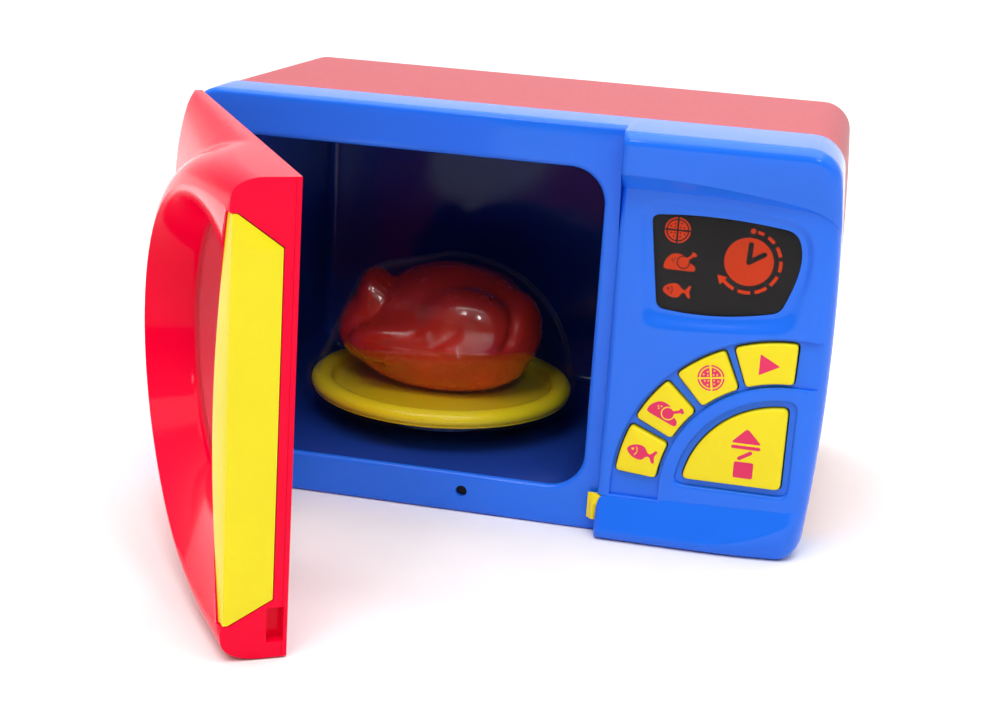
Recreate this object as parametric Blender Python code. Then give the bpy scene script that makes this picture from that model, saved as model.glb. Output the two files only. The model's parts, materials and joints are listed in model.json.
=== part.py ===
"""Toy microwave oven with an open door, a turntable and a sector keypad.

Metres, +Z up. The origin is the centre of the housing's underside, and the door opens toward -Y.
"""
import math

import bmesh
import bpy
from mathutils import Vector

# Housing
HOUSING_HEIGHT = 0.174
HOUSING_DEPTH = 0.159
HALF_WIDTH = 0.135
SIDE_BULGE = 0.0045
CORNER_RADIUS = 0.012
EDGE_RADIUS = 0.0025
FRONT_SHELL_DEPTH = 0.02465
WALL = 0.0024
GAP = 0.0003
OVERRUN = 0.002
REAR_EDGE_RADIUS = 0.006
REAR_TOP_FALL = 0.004
REAR_SIDE_TAPER = 0.001
FRONT_Y = -HOUSING_DEPTH / 2

# Oven opening and liner
SIDE_FRAME = 0.014
OPENING_LEFT = SIDE_FRAME - HALF_WIDTH
PANEL_WIDTH = 0.08525
PANEL_LEFT = HALF_WIDTH - PANEL_WIDTH
PANEL_FRAME = 0.0074
OPENING_RIGHT = PANEL_LEFT - PANEL_FRAME
OPENING_BOTTOM = 0.0178
TOP_FRAME = 0.0186
OPENING_TOP = HOUSING_HEIGHT - TOP_FRAME
OPENING_RADIUS = 0.015
LINER_TAPER = 0.002
LINER_WALL = 0.002

# Control panel
PANEL_DRAFT = 0.0002
PANEL_RAISE = 0.006
PANEL_SIDE_RADIUS = 0.009
PANEL_CORNER_RADIUS = 0.0125
CHIN_RAISE = 0.0104
CHIN_HEIGHT = 0.0045
CHIN_RISE = 0.016
CHIN_ROUND = 0.0044
LEDGE_HEIGHT = 0.0195
LEDGE_RISE = 0.0025
BAND_DROP = 0.0237
BAND_HEIGHT = HOUSING_HEIGHT - BAND_DROP
BAND_FALL = 0.0037
BROW_DROP = 0.017
BROW_HEIGHT = HOUSING_HEIGHT - BROW_DROP
BROW_FALL = 0.0104
BROW_RAISE = 0.0092
NOSE_RAISE = 0.0154
NOSE_DROP = 0.0052
NOSE_HEIGHT = HOUSING_HEIGHT - NOSE_DROP
NOSE_ROUND = 0.0054
RECESS_DEPTH = 0.0012

# Display
DISPLAY_INSET = 0.01285
DISPLAY_WIDTH = 0.0607
DISPLAY_HEIGHT = 0.0389
DISPLAY_DROP = 0.0339
DISPLAY_LEFT = PANEL_LEFT + DISPLAY_INSET
DISPLAY_RIGHT = DISPLAY_LEFT + DISPLAY_WIDTH
DISPLAY_TOP = HOUSING_HEIGHT - DISPLAY_DROP
DISPLAY_BOTTOM = DISPLAY_TOP - DISPLAY_HEIGHT
DISPLAY_MARGIN = 0.0055
CARD_THICKNESS = 0.0008
CARD_LAP = 0.0015

# Keypad: a fan of four sector keys about one centre, with the open key inside the fan
FAN_INSET = 0.010
FAN_X = HALF_WIDTH - FAN_INSET
FAN_Z = 0.025
FAN_OUTER = 0.0685
FAN_INNER = 0.0515
BAND_MARGIN = 0.0015
BAND_INSET = 0.007
BAND_RIGHT = HALF_WIDTH - BAND_INSET
POCKET_BOTTOM = 0.0197
KEY_STAND = 0.0015
KEY_TRAVEL = 0.0018
KEY_FLANGE = 0.001
KEY_FLANGE_LAP = 0.0011
KEY_STEM_RADIUS = 0.002
OPEN_KEY_RADIUS = 0.041
OPEN_KEY_BOTTOM = 0.031
OPEN_KEY_MARGIN = 0.003
OPEN_KEY_TRAVEL = 0.004
FAN_KEY_DEGREES = {
    "key_start": (89.0, 110.5),
    "key_pizza": (114.0, 132.5),
    "key_chicken": (136.8, 154.0),
    "key_fish": (157.3, 175.0),
}

# Circuit board
BOARD_Y = 0.012
BOARD_THICKNESS = 0.0016
BOARD_INSET_LEFT = 0.00575
BOARD_INSET_RIGHT = 0.007
BOARD_DROP = 0.028
BOARD_LEFT = PANEL_LEFT + BOARD_INSET_LEFT
BOARD_RIGHT = HALF_WIDTH - BOARD_INSET_RIGHT
BOARD_BOTTOM = 0.0230
BOARD_TOP = HOUSING_HEIGHT - BOARD_DROP
BOARD_POST_INSET = 0.003
MEMBRANE_THICKNESS = 0.0012
DOME_HEIGHT = 0.0015
DOME_RADIUS = 0.004
LED_RADIUS = 0.0025
LED_LENGTH = 0.007
POST_RADIUS = 0.0022

# Door, measured along the door from the hinge (u), outward from its inner face (t) and up (z)
HINGE_INSET = 0.003
HINGE_X = HINGE_INSET - HALF_WIDTH
HINGE_SETBACK = 0.003
DOOR_GAP = 0.001
DOOR_OPEN_DEGREES = 58.9
DOOR_NOSE = 0.0022
DOOR_RIM = 0.003
DOOR_END_GAP = 0.00075
DOOR_LENGTH = PANEL_LEFT - HINGE_X - DOOR_END_GAP
DOOR_BOTTOM = 0.0007
DOOR_DROP = 0.0016
DOOR_TOP = HOUSING_HEIGHT - DOOR_DROP
DOOR_THIN = 0.012
DOOR_THICK = 0.023
DOOR_WALL = 0.0024
DOOR_NOSE_RADIUS = 0.008
DOOR_SHOULDER_HINGE = 0.045
DOOR_SHOULDER_FREE = 0.012
CREST_INSET = 0.016
CREST_U = DOOR_LENGTH - CREST_INSET
CREST_Z = 0.087
CREST_LENGTH = 0.131
CREST_HEIGHT = 0.075
CREST_RAISE = 0.0285
CREST_RAISE_FREE = 0.024
CREST_SKIRT = 0.015
WINDOW_U = 0.092
WINDOW_Z = 0.089
WINDOW_RADIUS = 0.049
WINDOW_RAISE = 0.010
WINDOW_THICKNESS = 0.0016
DOOR_CREST_LIMIT_SHARE = 0.96
DOOR_SIDE_STEPS = 10
RAY_HALVINGS = 24
COLLAR_WALL = 0.002
HANDLE_DEPTH = 0.012
HANDLE_THICKNESS = 0.0032
HANDLE_BACK = 0.0055
HANDLE_TIP = 0.0045
HANDLE_TIP_RUN = 0.0117
HANDLE_FOOT_RUN = 0.0088
HANDLE_TIP_THICKNESS = 0.0012
HANDLE_FACE_SHARE = 0.75
INNER_PANEL_THICKNESS = 0.002
INNER_PANEL_MARGIN = 0.006
PEG_U = 0.1224
PEG_Z = 0.0099
PEG_RADIUS = 0.0015
PEG_LENGTH = 0.003
PEG_HOLE_RADIUS = 0.0025

# Hinge
LUG_HEIGHT = 0.006
LUG_DROP = 0.024
LUG_UPPER_Z = HOUSING_HEIGHT - LUG_DROP
LUG_LOWER_Z = 0.018
LUG_RADIUS = 0.003
PIN_RADIUS = 0.0013
PIN_REACH = 0.003
RUNNING_GAP = 0.0001
NOTCH_GAP = 0.0005
NOTCH_SIDE_GAP = 0.0012

# Latch
LATCH_TIP = 0.0040
LATCH_TRAVEL = 0.005
LATCH_FRONT = -0.0057
LATCH_THICKNESS = 0.003
LATCH_BOTTOM = 0.0075
LATCH_HEIGHT = 0.007
LATCH_SLOT_MARGIN = 0.001
LATCH_TAB_INSET = 0.0245
LATCH_TAB_X = FAN_X - LATCH_TAB_INSET
LATCH_TAB_WIDTH = 0.0085
LATCH_TAB_BACK = 0.0078
STEM_INSET = 0.033
STEM_X = FAN_X - STEM_INSET
STEM_WIDTH = 0.006
STEM_Z = 0.033
STEM_HEIGHT = 0.006
STEM_REACH = 0.0023

# Case screws
BOSS_INSET_X = 0.0105
BOSS_INSET_Z = 0.0105
BOSS_RADIUS = 0.0044
BOSS_BORE_RADIUS = 0.003
BOSS_FLOOR_Y = 0.0405
BOSS_FLOOR = 0.0025
FRONT_POST_RADIUS = 0.0032
SCREW_HEAD_RADIUS = 0.0026
SCREW_HEAD_HEIGHT = 0.002
SCREW_RADIUS = 0.0012
SCREW_LENGTH = 0.012
SCREW_CLEARANCE = 0.0002

# Drive
TURNTABLE_SHIFT = 0.001325
TURNTABLE_X = (OPENING_LEFT + OPENING_RIGHT) / 2 + TURNTABLE_SHIFT
TURNTABLE_FORWARD = 0.0035
TURNTABLE_DEPTH = HOUSING_DEPTH / 2 - TURNTABLE_FORWARD
MODULE = 0.00125
OUTPUT_TEETH = 40
IDLER_TEETH = 34
COMPOUND_TEETH = 34
COMPOUND_PINION_TEETH = 12
PINION_TEETH = 10
CENTRE_EASE = 0.00015
BACKLASH = 0.0003
GEAR_THICKNESS = 0.005
UPPER_GEAR_THICKNESS = 0.004
GEAR_LAYER_GAP = 0.0006
AXLE_RADIUS = 0.0015
AXLE_TOP_Z = 0.012
PRESSURE_ANGLE = math.radians(25)
ADDENDUM_SHARE = 0.9
DEDENDUM_SHARE = 1.15
SPINDLE_RADIUS = 0.004
SPINDLE_TOP = 0.022
MOTOR_RADIUS = 0.010
MOTOR_LENGTH = 0.025
MOTOR_SHAFT_RADIUS = 0.001
MOTOR_PLATE = 0.0022
MOTOR_PLATE_BOTTOM = 0.0140
MOTOR_PLATE_LEFT_REACH = 0.01495
MOTOR_PLATE_RIGHT_REACH = 0.01405
MOTOR_PLATE_REACH = 0.023
MOTOR_LEG_RADIUS = 0.0025
MOTOR_LEG_X = 0.0105
MOTOR_LEG_Y = 0.020
SHAFT_REACH = 0.008

# Turntable and food
HUB_BASE_RADIUS = 0.030
HUB_TOP_RADIUS = 0.024
HUB_LIFT = 0.0006
PLATE_ROOM = 0.020675
PLATE_RADIUS = (OPENING_RIGHT - OPENING_LEFT) / 2 - PLATE_ROOM
PLATE_BOTTOM = 0.030
PLATE_TOP = 0.0378
PLATE_WALL = 0.002
PLATE_RIM = 0.006
COVER_CLEARANCE = 0.0008
COVER_WALL = 0.0012
COVER_BOTTOM = 0.0305
COVER_TOP = 0.096
FOOD_LENGTH = 0.0435
FOOD_WIDTH = 0.040
FOOD_TOP = 0.089
FOOD_SHIFT = -0.003
FOOD_MIDDLE_SHARE = 0.42

# Rear bay: batteries and speaker
BATTERY_RADIUS = 0.00725
BATTERY_LENGTH = 0.0505
BATTERY_NUB_RADIUS = 0.0027
BATTERY_NUB = 0.001
BATTERY_INSET = 0.0465
BATTERY_X = HALF_WIDTH - BATTERY_INSET
BATTERY_BACK = 0.014
BATTERY_DEPTH = HOUSING_DEPTH - BATTERY_BACK
BATTERY_PITCH = 0.015
BATTERY_LOW_Z = 0.020
BATTERY_COUNT = 3
BOX_WALL = 0.0015
BOX_CLEARANCE = 0.0005
BOX_END_ROOM = 0.0034
COVER_TAB = 0.008
COVER_SCREW_RADIUS = 0.0028
SPEAKER_INSET = 0.043
SPEAKER_X = HALF_WIDTH - SPEAKER_INSET
SPEAKER_DROP = 0.054
SPEAKER_Z = HOUSING_HEIGHT - SPEAKER_DROP
SPEAKER_RADIUS = 0.020
SPEAKER_DEPTH = 0.012
SPEAKER_CONE = 0.004
GRILLE_HOLE_RADIUS = 0.00125
GRILLE_PITCH = 0.0065
GRILLE_RINGS = 2

# Door switch
SWITCH_WIDTH = 0.011
SWITCH_DEPTH = 0.009
SWITCH_HEIGHT = 0.008

ROUND_STEPS = 24
SMOOTH_ANGLE = math.radians(35)
FLAT_ANGLE = math.radians(0.05)

COLOURS = {
    "royal_blue": (0.03, 0.14, 0.80, 1.0),
    "navy_blue": (0.01, 0.03, 0.22, 1.0),
    "red": (0.72, 0.01, 0.03, 1.0),
    "magenta_red": (0.90, 0.0, 0.06, 1.0),
    "yellow": (0.85, 0.70, 0.03, 1.0),
    "black": (0.02, 0.02, 0.02, 1.0),
    "white": (0.82, 0.82, 0.80, 1.0),
    "green": (0.02, 0.22, 0.08, 1.0),
    "brown": (0.30, 0.05, 0.02, 1.0),
    "clear": (0.85, 0.90, 0.92, 1.0),
    "grey": (0.25, 0.25, 0.26, 1.0),
    "steel": (0.60, 0.61, 0.62, 1.0),
    "copper": (0.75, 0.42, 0.20, 1.0),
    "brass": (0.75, 0.55, 0.20, 1.0),
}


def clear_scene():
    for item in list(bpy.data.objects):
        bpy.data.objects.remove(item, do_unlink=True)


def material(name, roughness=0.35, metallic=0.0):
    found = bpy.data.materials.get(name)
    if found:
        return found
    made = bpy.data.materials.new(name)
    made.use_nodes = True
    shader = made.node_tree.nodes["Principled BSDF"]
    shader.inputs["Base Color"].default_value = COLOURS[name]
    shader.inputs["Roughness"].default_value = roughness
    shader.inputs["Metallic"].default_value = metallic
    return made


def body(name, points, faces, colour, metallic=0.0, curved=False):
    """One closed body with its faces turned outward; a curved one is split into triangles."""
    mesh = bpy.data.meshes.new(name)
    form = bmesh.new()
    corners = [form.verts.new(point) for point in points]
    for face in faces:
        form.faces.new([corners[index] for index in face])
    bmesh.ops.recalc_face_normals(form, faces=form.faces)
    if curved:
        bmesh.ops.triangulate(form, faces=form.faces)
    form.to_mesh(mesh)
    form.free()
    mesh.shade_smooth()
    mesh.set_sharp_from_angle(angle=SMOOTH_ANGLE)
    mesh.materials.append(material(colour, metallic=metallic))
    made = bpy.data.objects.new(name, mesh)
    bpy.context.scene.collection.objects.link(made)
    return made


def rings_body(name, rings, colour, metallic=0.0, closed_tube=False, curved=False):
    """Skin over rings of equal length; the ends are capped unless the rings form a closed tube."""
    count = len(rings[0])
    points = [point for ring in rings for point in ring]
    faces = []
    spans = len(rings) if closed_tube else len(rings) - 1
    for row in range(spans):
        near = row * count
        far = ((row + 1) % len(rings)) * count
        for step in range(count):
            after = (step + 1) % count
            faces.append((near + step, near + after, far + after, far + step))
    if not closed_tube:
        faces.append(tuple(reversed(range(count))))
        last = (len(rings) - 1) * count
        faces.append(tuple(range(last, last + count)))
    return body(name, points, faces, colour, metallic, curved)


def grid_body(name, rows, back_y, colour):
    """A front surface of rows and columns, closed by side strips and one flat back face."""
    columns = len(rows[0])
    points = [point for row in rows for point in row]
    faces = []
    for row in range(len(rows) - 1):
        for column in range(columns - 1):
            first = row * columns + column
            faces.append((first, first + 1, first + columns + 1, first + columns))
    last_row = (len(rows) - 1) * columns
    rim = [row * columns for row in range(len(rows))]
    rim += [last_row + column for column in range(1, columns)]
    rim += [row * columns + columns - 1 for row in range(len(rows) - 2, -1, -1)]
    rim += [column for column in range(columns - 2, 0, -1)]
    base = len(points)
    points += [Vector((points[index][0], back_y, points[index][2])) for index in rim]
    for step, index in enumerate(rim):
        after = (step + 1) % len(rim)
        faces.append((index, rim[after], base + after, base + step))
    faces.append(tuple(range(base, base + len(rim))))
    return body(name, points, faces, colour, curved=True)


def combine(target, tool, operation):
    modifier = target.modifiers.new(tool.name, "BOOLEAN")
    modifier.operation = operation
    modifier.solver = "EXACT"
    modifier.object = tool
    tool.hide_render = True
    tool.display_type = "WIRE"
    tool.parent = target


def cut(target, tool):
    combine(target, tool, "DIFFERENCE")


def add(target, tool):
    combine(target, tool, "UNION")


def box(name, low, high, colour="grey"):
    """A box between two opposite corners."""
    xs, ys, zs = zip(low, high)
    rings = [[Vector((xs[i], ys[j], z)) for i, j in ((0, 0), (1, 0), (1, 1), (0, 1))] for z in zs]
    return rings_body(name, rings, colour)


def merge_flat(target):
    """Join the flat triangles that the cuts leave beside each other."""
    modifier = target.modifiers.new("flat_faces", "DECIMATE")
    modifier.decimate_type = "DISSOLVE"
    modifier.angle_limit = FLAT_ANGLE


def circle(radius, steps):
    turns = [math.tau * step / steps for step in range(steps)]
    return [(radius * math.cos(turn), radius * math.sin(turn)) for turn in turns]


def turned(name, centre, axis, profile, colour, steps=ROUND_STEPS, metallic=0.0):
    """A body turned about a line through centre; profile holds (radius, distance along axis)."""
    spin = Vector((0, 0, 1)).rotation_difference(Vector(axis)).to_matrix()
    rings = []
    for radius, along in profile:
        ring = [spin @ Vector((a, b, along)) for a, b in circle(radius, steps)]
        rings.append([Vector(centre) + point for point in ring])
    return rings_body(name, rings, colour, metallic)


def rod(name, centre, axis, radius, start, end, colour="grey", steps=ROUND_STEPS, metallic=0.0):
    return turned(name, centre, axis, [(radius, start), (radius, end)], colour, steps, metallic)


def sheet(name, outline, front, back, colour="grey"):
    """An outline in X and Z made solid between two places along Y."""
    rings = [[Vector((x, y, z)) for x, z in outline] for y in (front, back)]
    return rings_body(name, rings, colour)


def prism_z(name, outline, low, high, colour="grey"):
    """An outline in X and Y made solid between two heights."""
    rings = [[Vector((x, y, z)) for x, y in outline] for z in (low, high)]
    return rings_body(name, rings, colour)


def arc(radius, start, end, steps, centre=(0.0, 0.0)):
    """Points of an arc between two angles in degrees, both ends included."""
    turns = [math.radians(start + (end - start) * step / steps) for step in range(steps + 1)]
    return [(centre[0] + radius * math.cos(a), centre[1] + radius * math.sin(a)) for a in turns]


def rounded_outline(left, right, bottom, top, radius, arc_steps=4, side_steps=1):
    """A rounded rectangle, anticlockwise, with extra points along its two upright sides."""
    centres = (
        (right - radius, top - radius),
        (left + radius, top - radius),
        (left + radius, bottom + radius),
        (right - radius, bottom + radius),
    )
    points = []
    for turn, centre in enumerate(centres):
        points += arc(radius, 90 * turn, 90 * (turn + 1), arc_steps, centre)
        if turn in (1, 3):
            x, z = points[-1]
            rise = (top - bottom - 2 * radius) * (1 if turn == 3 else -1)
            points += [(x, z + rise * step / side_steps) for step in range(1, side_steps)]
    return points


def rounded_polygon(corners, radius, steps=3):
    """A polygon whose corners are eased with short curves."""
    points = []
    for index, corner in enumerate(corners):
        here = Vector(corner)
        before = Vector(corners[index - 1]) - here
        after = Vector(corners[(index + 1) % len(corners)]) - here
        reach = min(radius, before.length / 2, after.length / 2)
        start = here + before.normalized() * reach
        end = here + after.normalized() * reach
        for step in range(steps + 1):
            share = step / steps
            points.append(tuple(start.lerp(here, share).lerp(here.lerp(end, share), share)))
    return points


def edge_fall(distance, radius):
    """How far a rounded edge has dropped at a distance inside it."""
    if distance >= radius:
        return 0.0
    return radius - math.sqrt(radius ** 2 - (radius - distance) ** 2)


def bulged(x, z):
    """X on the housing's slightly convex sides."""
    share = max(0.0, (abs(x) - PANEL_LEFT) / (HALF_WIDTH - PANEL_LEFT))
    level = 2 * z / HOUSING_HEIGHT - 1
    return x + math.copysign(SIDE_BULGE * share * max(0.0, 1 - level ** 2), x)


# Shares of a radius or a span at which the housing's front is sampled
EDGE_SHARES = (0.0, 0.3, 1.0)
CORNER_SHARES = (0.45, 0.75, 1.0)
FRAME_SHARES = (0.33, 0.66)
PANEL_SHARES = (0.3, 0.6)
SIDE_ROUND_SHARES = (1.0, 0.6, 0.3, 0.1, 0.0)
FACE_COLUMNS = 5
FRAME_COLUMNS = 12
CHIN_BEND_SHARE = 0.5
CHIN_MIDDLE_SHARE = 0.5


def panel_profile(across):
    """Height and raise of the panel's front at a share of its width, from its foot to its top."""
    ledge = LEDGE_HEIGHT + LEDGE_RISE * across
    bend = max(0.0, (across - CHIN_BEND_SHARE) / (1 - CHIN_BEND_SHARE))
    crease = CHIN_HEIGHT + CHIN_RISE * bend ** 2
    chin_raise = CHIN_RAISE + (PANEL_RAISE - CHIN_RAISE) * bend ** 2
    band = BAND_HEIGHT - BAND_FALL * across ** 3
    brow = BROW_HEIGHT - BROW_FALL * across ** 2
    brow_raise = BROW_RAISE + (PANEL_RAISE - BROW_RAISE) * across
    middle = ledge + (crease - ledge) * CHIN_MIDDLE_SHARE
    middle_raise = PANEL_RAISE + (chin_raise - PANEL_RAISE) * CHIN_MIDDLE_SHARE
    profile = [(CHIN_ROUND * (1 - math.cos(turn)), chin_raise - CHIN_ROUND * (1 - math.sin(turn)))
               for turn in (0.0, math.radians(35), math.radians(65))]
    profile += [(crease, chin_raise), (middle, middle_raise), (ledge, PANEL_RAISE)]
    span = band - ledge
    profile += [(ledge + span * step / (FACE_COLUMNS + 1), PANEL_RAISE)
                for step in range(1, FACE_COLUMNS + 1)]
    profile += [(band, PANEL_RAISE), (brow, brow_raise)]
    nose_low = NOSE_HEIGHT - NOSE_ROUND
    nose_fall = NOSE_ROUND * (1 - math.cos(math.radians(55)))
    profile += [(nose_low, NOSE_RAISE - nose_fall), (NOSE_HEIGHT, NOSE_RAISE)]
    above = HOUSING_HEIGHT - NOSE_HEIGHT
    profile += [(NOSE_HEIGHT + above * math.sin(turn), NOSE_RAISE - NOSE_ROUND * (1 - math.cos(turn)))
                for turn in (math.radians(30), math.radians(60), math.radians(90))]
    return profile


def frame_row(distance, x, inset):
    """One upright row of points on the door frame."""
    corner = edge_fall(distance, CORNER_RADIUS - inset)
    low = inset + corner
    high = HOUSING_HEIGHT - inset - corner
    radius = EDGE_RADIUS
    heights = [low + radius * share for share in EDGE_SHARES]
    span = high - low - 2 * radius
    heights += [low + radius + span * step / (FRAME_COLUMNS + 1)
                for step in range(1, FRAME_COLUMNS + 1)]
    heights += [high - radius * share for share in reversed(EDGE_SHARES)]
    row = []
    for z in heights:
        nearest = min(distance, z - low, high - z)
        row.append(Vector((bulged(x, z), FRONT_Y + inset + edge_fall(nearest, radius), z)))
    return row


def panel_row(from_left, from_right, x, inset):
    """One upright row of points on the control panel."""
    across = (x - PANEL_LEFT) / (HALF_WIDTH - PANEL_LEFT)
    top_corner = edge_fall(from_right, PANEL_CORNER_RADIUS - inset)
    foot_corner = edge_fall(from_right, PANEL_SIDE_RADIUS - inset)
    low = inset + foot_corner
    high = HOUSING_HEIGHT - inset - top_corner
    drop = edge_fall(from_left, EDGE_RADIUS) + edge_fall(from_right, PANEL_SIDE_RADIUS)
    row = []
    for height, rise in panel_profile(across):
        z = low + (high - low) * height / HOUSING_HEIGHT
        row.append(Vector((bulged(x, z), FRONT_Y - rise + inset + drop, z)))
    return row


def front_rows(inset):
    """The whole front surface, drawn in by the wall for its inner side."""
    left = -HALF_WIDTH + inset
    step_x = PANEL_LEFT + inset
    right = HALF_WIDTH - inset
    distances = [EDGE_RADIUS * share for share in EDGE_SHARES]
    distances += [CORNER_RADIUS * share for share in CORNER_SHARES]
    frame_span = step_x - PANEL_DRAFT - left
    distances += [CORNER_RADIUS + (frame_span - CORNER_RADIUS) * share for share in FRAME_SHARES]
    distances.append(frame_span)
    rows = [frame_row(distance, left + distance, inset) for distance in distances]
    panel_span = right - step_x
    offsets = [EDGE_RADIUS * share for share in EDGE_SHARES]
    offsets += [panel_span * share for share in PANEL_SHARES]
    offsets.append(panel_span - PANEL_CORNER_RADIUS)
    offsets += [panel_span - PANEL_SIDE_RADIUS * share for share in SIDE_ROUND_SHARES]
    rows += [panel_row(offset, panel_span - offset, step_x + offset, inset) for offset in offsets]
    return rows


# Outlines of the display, as shares of its width and height
GLASS_SHARES = (
    (0.0, 1.0), (0.45, 1.03), (0.932, 0.969), (1.0, 0.643), (0.896, 0.116),
    (0.481, 0.0), (0.084, 0.023), (0.043, 0.44),
)
DISH_SHARES = (
    (-0.094, 0.889), (-0.038, 1.126), (0.45, 1.14), (0.972, 1.067), (1.071, 0.805),
    (1.012, -0.015), (0.48, -0.14), (0.013, -0.2), (-0.04, 0.42),
)


def grown_polygon(corners, grow):
    """A polygon with every side moved outward by the same distance."""
    points = [Vector(corner) for corner in corners]
    area = sum(points[index - 1].cross(points[index]) for index in range(len(points)))
    way = 1 if area > 0 else -1
    grown = []
    for index, here in enumerate(points):
        before = (here - points[index - 1]).normalized()
        after = (points[(index + 1) % len(points)] - here).normalized()
        normals = (Vector((before.y, -before.x)) * way, Vector((after.y, -after.x)) * way)
        shift = (normals[0] + normals[1]) / (1 + normals[0].dot(normals[1]))
        grown.append(tuple(here + shift * grow))
    return grown


def display_outline(shares, grow=0.0):
    """The outline of the glass or of the dish round it, grown by a margin."""
    width = DISPLAY_RIGHT - DISPLAY_LEFT
    height = DISPLAY_TOP - DISPLAY_BOTTOM
    corners = [(DISPLAY_LEFT + width * x_share, DISPLAY_BOTTOM + height * z_share)
               for x_share, z_share in shares]
    return rounded_polygon(grown_polygon(corners, grow), DISPLAY_MARGIN / 2)


def sector_outline(degrees, grow=0.0):
    """A fan key's outline about the fan's centre, grown by a margin."""
    turn = math.degrees(grow / FAN_INNER)
    start, end = degrees[0] - turn, degrees[1] + turn
    centre = (FAN_X, FAN_Z)
    return (arc(FAN_OUTER + grow, start, end, 6, centre)
            + arc(FAN_INNER - grow, end, start, 5, centre))


def open_key_outline(grow=0.0):
    """The open key's outline: a quarter disc with its square corner at the lower right."""
    radius = OPEN_KEY_RADIUS + grow
    bottom = OPEN_KEY_BOTTOM - grow
    right = FAN_X + grow
    start = math.degrees(math.acos(grow / radius))
    end = 180 - math.degrees(math.asin((bottom - FAN_Z) / radius))
    return arc(radius, start, end, 8, (FAN_X, FAN_Z)) + [(right, bottom)]


def fan_band_outline():
    """The sunk band behind the fan keys, with the empty pocket below its left end."""
    outer = FAN_OUTER + BAND_MARGIN
    inner = FAN_INNER - BAND_MARGIN
    over = BAND_RIGHT - FAN_X
    centre = (FAN_X, FAN_Z)
    points = arc(outer, math.degrees(math.acos(over / outer)), 180, 12, centre)
    points += [(FAN_X - outer, POCKET_BOTTOM), (FAN_X - inner, POCKET_BOTTOM)]
    return points + arc(inner, 180, math.degrees(math.acos(over / inner)), 10, centre)


FACE_Y = FRONT_Y - PANEL_RAISE
FACE_INNER_Y = FACE_Y + WALL
RECESS_Y = FACE_Y + RECESS_DEPTH
REAR_Y = FRONT_Y + HOUSING_DEPTH
HINGE_Y = FRONT_Y - DOOR_GAP - HINGE_SETBACK
BOSS_X = HALF_WIDTH - BOSS_INSET_X
BOSS_HEIGHTS = (BOSS_INSET_Z, HOUSING_HEIGHT - BOSS_INSET_Z)
BOSS_PLACES = [(x, z) for x in (-BOSS_X, BOSS_X) for z in BOSS_HEIGHTS]
BOSS_FRONT_Y = FRONT_Y + BOSS_FLOOR_Y - BOSS_FLOOR


def cut_opening(shell):
    outline = rounded_outline(OPENING_LEFT, OPENING_RIGHT, OPENING_BOTTOM, OPENING_TOP, OPENING_RADIUS)
    cut(shell, sheet("opening_cutter", outline, FRONT_Y - OVERRUN, FRONT_Y + WALL + OVERRUN))


def cut_panel(shell):
    """The dish and window of the display, and the sunk seats and holes of the keys."""
    front = FACE_Y - OVERRUN
    behind = FACE_INNER_Y + OVERRUN
    cut(shell, sheet("dish_cutter", display_outline(DISH_SHARES), front, RECESS_Y))
    cut(shell, sheet("glass_cutter", display_outline(GLASS_SHARES), front, behind))
    cut(shell, sheet("band_cutter", fan_band_outline(), front, RECESS_Y))
    cut(shell, sheet("open_seat_cutter", open_key_outline(OPEN_KEY_MARGIN), front, RECESS_Y))
    for name, degrees in FAN_KEY_DEGREES.items():
        cut(shell, sheet(name + "_cutter", sector_outline(degrees, GAP), front, behind))
    cut(shell, sheet("open_key_cutter", open_key_outline(GAP), front, behind))


def cut_latch_way(shell):
    """The slot in the panel's left wall and the channel that the latch slides along."""
    low_z = LATCH_BOTTOM - GAP
    high_z = LATCH_BOTTOM + LATCH_HEIGHT + GAP
    front = FRONT_Y + LATCH_FRONT - GAP
    back = front + LATCH_THICKNESS + 2 * GAP
    slot_end = PANEL_LEFT + WALL + OVERRUN
    cut(shell, box("latch_slot_cutter", (PANEL_LEFT - OVERRUN, front, low_z), (slot_end, back, high_z)))
    end = LATCH_TAB_X + LATCH_TAB_WIDTH + LATCH_TRAVEL + LATCH_SLOT_MARGIN
    start = PANEL_LEFT + WALL / 2
    cut(shell, box("latch_way_cutter", (start, front, low_z), (end, back, high_z)))


def add_front_posts(shell):
    """Posts for the case screws and for the circuit board."""
    starts = {(-1, 0): WALL / 2, (-1, 1): WALL / 2,
              (1, 0): WALL / 2 - CHIN_RAISE, (1, 1): WALL - NOSE_RAISE + NOSE_ROUND / 2}
    length = BOSS_FRONT_Y - GAP
    for index, (x, z) in enumerate(BOSS_PLACES):
        side = (1 if x > 0 else -1, index % 2)
        start = FRONT_Y + starts[side]
        post = rod("screw_post", (x, 0, z), (0, 1, 0), FRONT_POST_RADIUS, start, length, steps=12)
        add(shell, post)
    for index, (x, z) in enumerate(BOSS_PLACES):
        bore = SCREW_RADIUS + SCREW_CLEARANCE
        start = BOSS_FRONT_Y - SCREW_LENGTH
        cut(shell, rod("screw_bore", (x, 0, z), (0, 1, 0), bore, start, length + OVERRUN, steps=10))
    for x in (BOARD_LEFT + BOARD_POST_INSET, BOARD_RIGHT - BOARD_POST_INSET):
        for z in (BOARD_BOTTOM + BOARD_POST_INSET, BOARD_TOP - BOARD_POST_INSET):
            start = FACE_INNER_Y - RECESS_DEPTH / 2
            end = FRONT_Y + BOARD_Y - GAP
            add(shell, rod("board_post", (x, 0, z), (0, 1, 0), POST_RADIUS, start, end, steps=10))


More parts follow.
